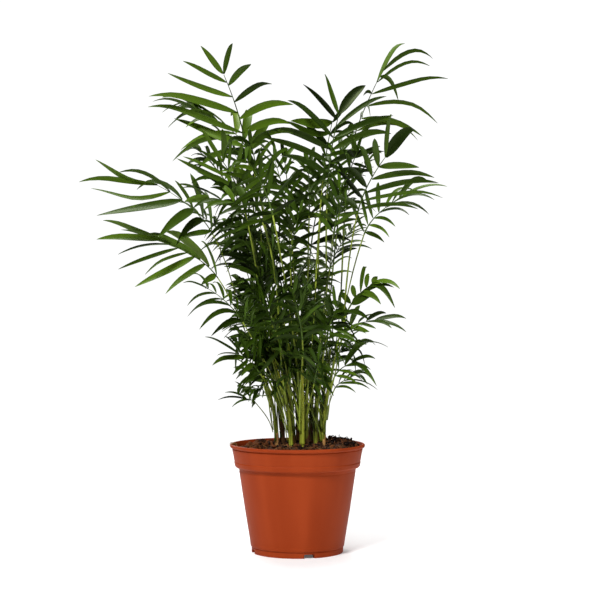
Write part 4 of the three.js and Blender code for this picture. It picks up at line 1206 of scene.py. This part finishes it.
def sown(count, seed):
    """Places strewn over the peat by chance, denser on the heaps by drawing some of them there."""
    k = np.arange(count)
    radius = SOWN * np.sqrt((chance(k, seed, 1) + 1) / 2)
    angle = np.pi * chance(k, seed, 2)
    x, y = radius * np.cos(angle), radius * np.sin(angle)
    heap = np.array(HEAPS)[(k // 3) % 3]
    drawn = k % 3 == 0
    x = np.where(drawn, heap[:, 0] + 0.8 * heap[:, 3] * chance(k, seed, 3), x)
    y = np.where(drawn, heap[:, 1] + 0.8 * heap[:, 3] * chance(k, seed, 4), y)
    keep = np.hypot(x, y) < EDGE
    return k[keep], x[keep], y[keep]


def crumbs(count, seed):
    """Twelve-cornered lumps, each corner scaled by chance, and a tone for each.

    Those at the left are dry and pale.
    """
    golden = (1 + math.sqrt(5)) / 2
    base = np.array([(a, b * golden, 0) for a in (-1, 1) for b in (-1, 1)])
    base = np.concatenate([base, base[:, [2, 0, 1]], base[:, [1, 2, 0]]]) / math.hypot(1, golden)
    gaps = np.linalg.norm(base[:, None] - base[None], axis=-1)
    near = gaps < 1.2 * gaps[gaps > 0].min()
    faces = [(a, b, c) for a in range(12) for b in range(12) for c in range(12)
             if a < b < c and near[a, b] and near[b, c] and near[a, c]]
    faces = np.array([f if np.linalg.det(base[list(f)]) > 0 else f[::-1] for f in faces])
    k, x, y = sown(count, seed)
    size = 0.6 + 2.8 * np.abs(chance(k, seed, 5)) ** 3
    corner = np.arange(12)[None]
    scale = size[:, None] * (1 + 0.4 * chance(k[:, None], corner, seed + 6))
    stretch = 1 + 0.35 * chance(k[:, None, None], np.arange(3), seed + 7)
    body = base[None] * scale[..., None] * stretch
    place = np.stack([x, y, peat_height(x, y) + 0.4 * size], axis=-1)
    points = body + place[:, None]
    surface = (points.reshape(-1, 3), np.zeros((0, 4), int), for_each(faces, len(k), 12))
    return surface, chance(k, seed, 9) + np.where(x < -25, 0.55, 0)


# %% Fibres, twigs and threads
def threads(count, seed, thick, longest):
    """Bent threads of eight rings of three points; each lies on the peat and arches a little."""
    k, x, y = sown(count, seed)
    s = np.linspace(-0.5, 0.5, 8)
    angle = np.pi * chance(k, seed, 5)[:, None]
    length = (longest * (0.35 + 0.65 * np.abs(chance(k, seed, 6))))[:, None]
    curl = 0.6 * chance(k, seed, 7)[:, None]
    turn = angle + 2.2 * curl * s
    x, y = held(x[:, None] + length * s * np.cos(turn), y[:, None] + length * s * np.sin(turn), EDGE)
    arch = (0.4 + 1.6 * np.abs(chance(k, seed, 8)))[:, None] * np.cos(np.pi * s)
    centre = np.stack([x, y, peat_height(x, y) + 0.3 + arch], axis=-1)
    return thread_rings(centre, thick * (0.6 + 0.8 * np.abs(chance(k, seed, 9)) ** 2))


def twigs(count, seed):
    """Crumbly bits that stand up from the right-hand heaps: bent threads, rough and thick."""
    k = np.arange(count)
    heap = np.array(HEAPS)[1 + k % 3]
    x = heap[:, 0] + heap[:, 3] * chance(k, seed, 1)
    y = heap[:, 1] + heap[:, 3] * chance(k, seed, 2)
    x, y = held(x, y, SOWN)
    s = np.linspace(0, 1, 8)
    rise = (2.5 + 7.0 * np.abs(chance(k, seed, 3)) ** 2)[:, None] * np.sin(s * 2.6)
    lean = (5 * chance(k, seed, 4))[:, None] * s ** 1.5
    kink = 0.9 * chance(k[:, None], seed + 5, np.arange(8))
    across = (5 * chance(k, seed, 6))[:, None] * s
    centre = np.stack([x[:, None] + lean + kink, y[:, None] + across,
                       peat_height(x, y)[:, None] - 1 + rise], axis=-1)
    return thread_rings(centre, 0.7 + 0.4 * chance(k, seed, 7))


def stray_threads(count, seed):
    """Pale threads that hang over the lip at the left, in a loose curl."""
    k = np.arange(count)
    angle = np.radians(184 + 9 * chance(k, seed, 1))[:, None]
    s = np.linspace(0, 1, 8)
    radius = mix(74, 84 + 1.2 * chance(k, seed, 2)[:, None], np.minimum(1, s * 1.5))
    turn = angle + 0.05 * chance(k, seed, 3)[:, None] * np.sin(5 * s)
    height = np.interp(s, [0, 0.3, 0.65, 1], [129, 136.4, 137, 133.5])
    height = height + 0.8 * chance(k[:, None], seed + 4, np.arange(8))
    return thread_rings(turned(radius, turn, height), 0.22 + 0 * k)


def thread_rings(centre, radius):
    """Rings of three points round centre[thread, step], tapered at both ends."""
    along = unit(np.gradient(centre, axis=1))
    side = unit(np.cross(along, UP + 0.01))
    over = np.cross(side, along)
    angle = -(np.arange(3) * 2 * np.pi / 3)
    steps = centre.shape[1]
    slim = radius[:, None] * (0.35 + 0.65 * np.sin(np.pi * np.linspace(0.08, 0.92, steps)))
    ring = side[:, :, None] * np.cos(angle)[:, None] + over[:, :, None] * np.sin(angle)[:, None]
    return centre[:, :, None] + slim[:, :, None, None] * ring


# %% Their finish
def soil_finish(name, low, high):
    """Matt brown from dark to light by each bit's own tone and fine noise."""
    soil = Finish(name, roughness=0.95, specular_ior_level=0.15)
    bright = soil.tone() * 0.45 + soil.noise(300, 2.0).between(0.3, 0.7) * 0.5
    soil.paint(soil.colour(bright, low, high))
    soil.relief(soil.noise(900, 3.0), 0.7, 0.0008)
    return soil


bits, tone = crumbs(2300, 40)
add_piece("peat_crumbs", bits, soil_finish("peat_crumb", tint(20, 8, 4), tint(116, 68, 36)),
          ["peat"], tone=tone)
fibre_skin = soil_finish("peat_fibre", tint(70, 42, 22), tint(190, 140, 86))
twig_skin = soil_finish("peat_twig", tint(22, 12, 6), tint(84, 52, 28))
LOOSE = {"peat_fibres": (threads(820, 60, thick=0.3, longest=15), fibre_skin, 70),
         "stray_threads": (stray_threads(9, 80), fibre_skin, 70),
         "peat_twigs": (twigs(36, 90), twig_skin, 71)}
for name, (bits, skin, seed) in LOOSE.items():
    add_piece(name, tubes(bits), skin, ["peat"], tone=chance(np.arange(len(bits)), seed, 1))

# %% [markdown]
# ## The pot
# A nursery pot is pressed from a thin sheet of terracotta-coloured plastic: a tapered body, a
# wider collar so that pots stack without jamming, a rolled lip, and a stepped foot ring with
# notches that let water out. It is a turned shape, so one outline carried round the axis gives
# it all. Corners are eased with small curves, because pressed sheet never has a sharp one.

# %% Outline of the wall
def eased(outline, ease):
    """The outline with each corner replaced by a curve of four points, ease mm either side."""
    points = np.array(outline, float)
    eased_points = [points[0]]
    for before, corner, after in zip(points, points[1:], points[2:]):
        reach_in = min(ease, np.linalg.norm(corner - before) * 0.45)
        reach_out = min(ease, np.linalg.norm(after - corner) * 0.45)
        start = corner + unit(before - corner) * reach_in
        end = corner + unit(after - corner) * reach_out
        for t in (0, 1 / 3, 2 / 3, 1):
            eased_points.append((1 - t) ** 2 * start + 2 * (1 - t) * t * corner + t * t * end)
    return np.array([*eased_points, points[-1]])


OUTLINE = [  # radius and height, from the middle of the underside, up the outside, down the inside
    (20, 0), (22, 3), (50.5, 3), (52, 0), (57.6, 0), (57.7, 6.2), (57.1, 7.2), (58.9, 8.0),
    (59.6, 12.2), (59.5, 12.8), (66.4, 55), (73.4, 101.4), (73.3, 102.4), (73.9, 105.4),
    (74.1, 106.8), (77.6, 107.0), (78.9, 108.8), (79.7, 113.4), (79.2, 114.2), (79.6, 115.2),
    (82.2, 129.8), (81.7, 130.6), (81.7, 131.4), (84.3, 131.7), (85, 133.2), (84.9, 134.9),
    (83.6, 136), (82.0, 135.7), (81.0, 132), (76.9, 109), (72.2, 105), (57.0, 9), (54.5, 5.5),
    (1.0, 5.5),
]
NOTCH = {"count": 4, "first": -75, "half_width": 6.5, "height": 4.9, "steps": 6}
FOOT = {"inner": 44, "outer": 62, "radius": 57.6}  # a notch cuts from inner to outer
BETWEEN = {"steps": 50, "jump": 0.006}  # points from notch to notch; the width of a notch's side
POT_HEIGHT = 136
EASE = 0.5


def pot_surface():
    """The outline turned round the axis; in a notch its foot lies at the notch's height.

    The pot is a touch oval: its radius swells as the sine of twice the angle, more with height.
    """
    outline = np.concatenate([[(1.0, 0.0)], eased(OUTLINE, EASE)])
    half = math.asin(NOTCH["half_width"] / FOOT["radius"])
    quarter = 2 * np.pi / NOTCH["count"]
    steps = np.concatenate([np.linspace(-half, half, NOTCH["steps"]),
                            np.linspace(half + BETWEEN["jump"],
                                        quarter - half - BETWEEN["jump"], BETWEEN["steps"])])
    lowered = np.arange(len(steps)) < NOTCH["steps"]
    middle = math.radians(NOTCH["first"]) + quarter * np.arange(NOTCH["count"])
    angle, cut = (middle[:, None] + steps).ravel(), np.tile(lowered, NOTCH["count"])
    radius, height = outline[:, 0][:, None], outline[:, 1][:, None]
    foot = (radius > FOOT["inner"]) & (radius < FOOT["outer"]) & (height < NOTCH["height"])
    height = np.where(foot & cut[None], NOTCH["height"], height)
    radius = radius * (1 + 0.0012 * np.sin(2 * angle + 0.7) * height / POT_HEIGHT)
    return turned(radius, angle, height)


terracotta = Finish("terracotta_plastic", specular_ior_level=0.07)
# faint upright streaks in the colour: partly moulding flow, partly painted sheen where the soft
# lamps reflect in bands
streaks_and_sheen = terracotta.noise(30, 2.0, stretch=(1, 1, 0.07))
speckle = terracotta.noise(700, 2.0)
clay = terracotta.colour(streaks_and_sheen.between(0.3, 0.7) * 0.8 + speckle * 0.2,
                         tint(137, 50, 16), tint(153, 60, 24))
terracotta.paint(clay)
terracotta.rough(0.46 + 0.1 * streaks_and_sheen + 0.05 * speckle)
terracotta.relief(speckle, 0.15, 0.0002)
add_piece("pot_wall", tubes(pot_surface()[None]), terracotta, ["pot"])

# %% Sizes
plant_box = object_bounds()
for word, box in (("solid", solid_box), ("plant", plant_box)):
    print(word, [[round(value / MM, 1) for value in corner] for corner in box])
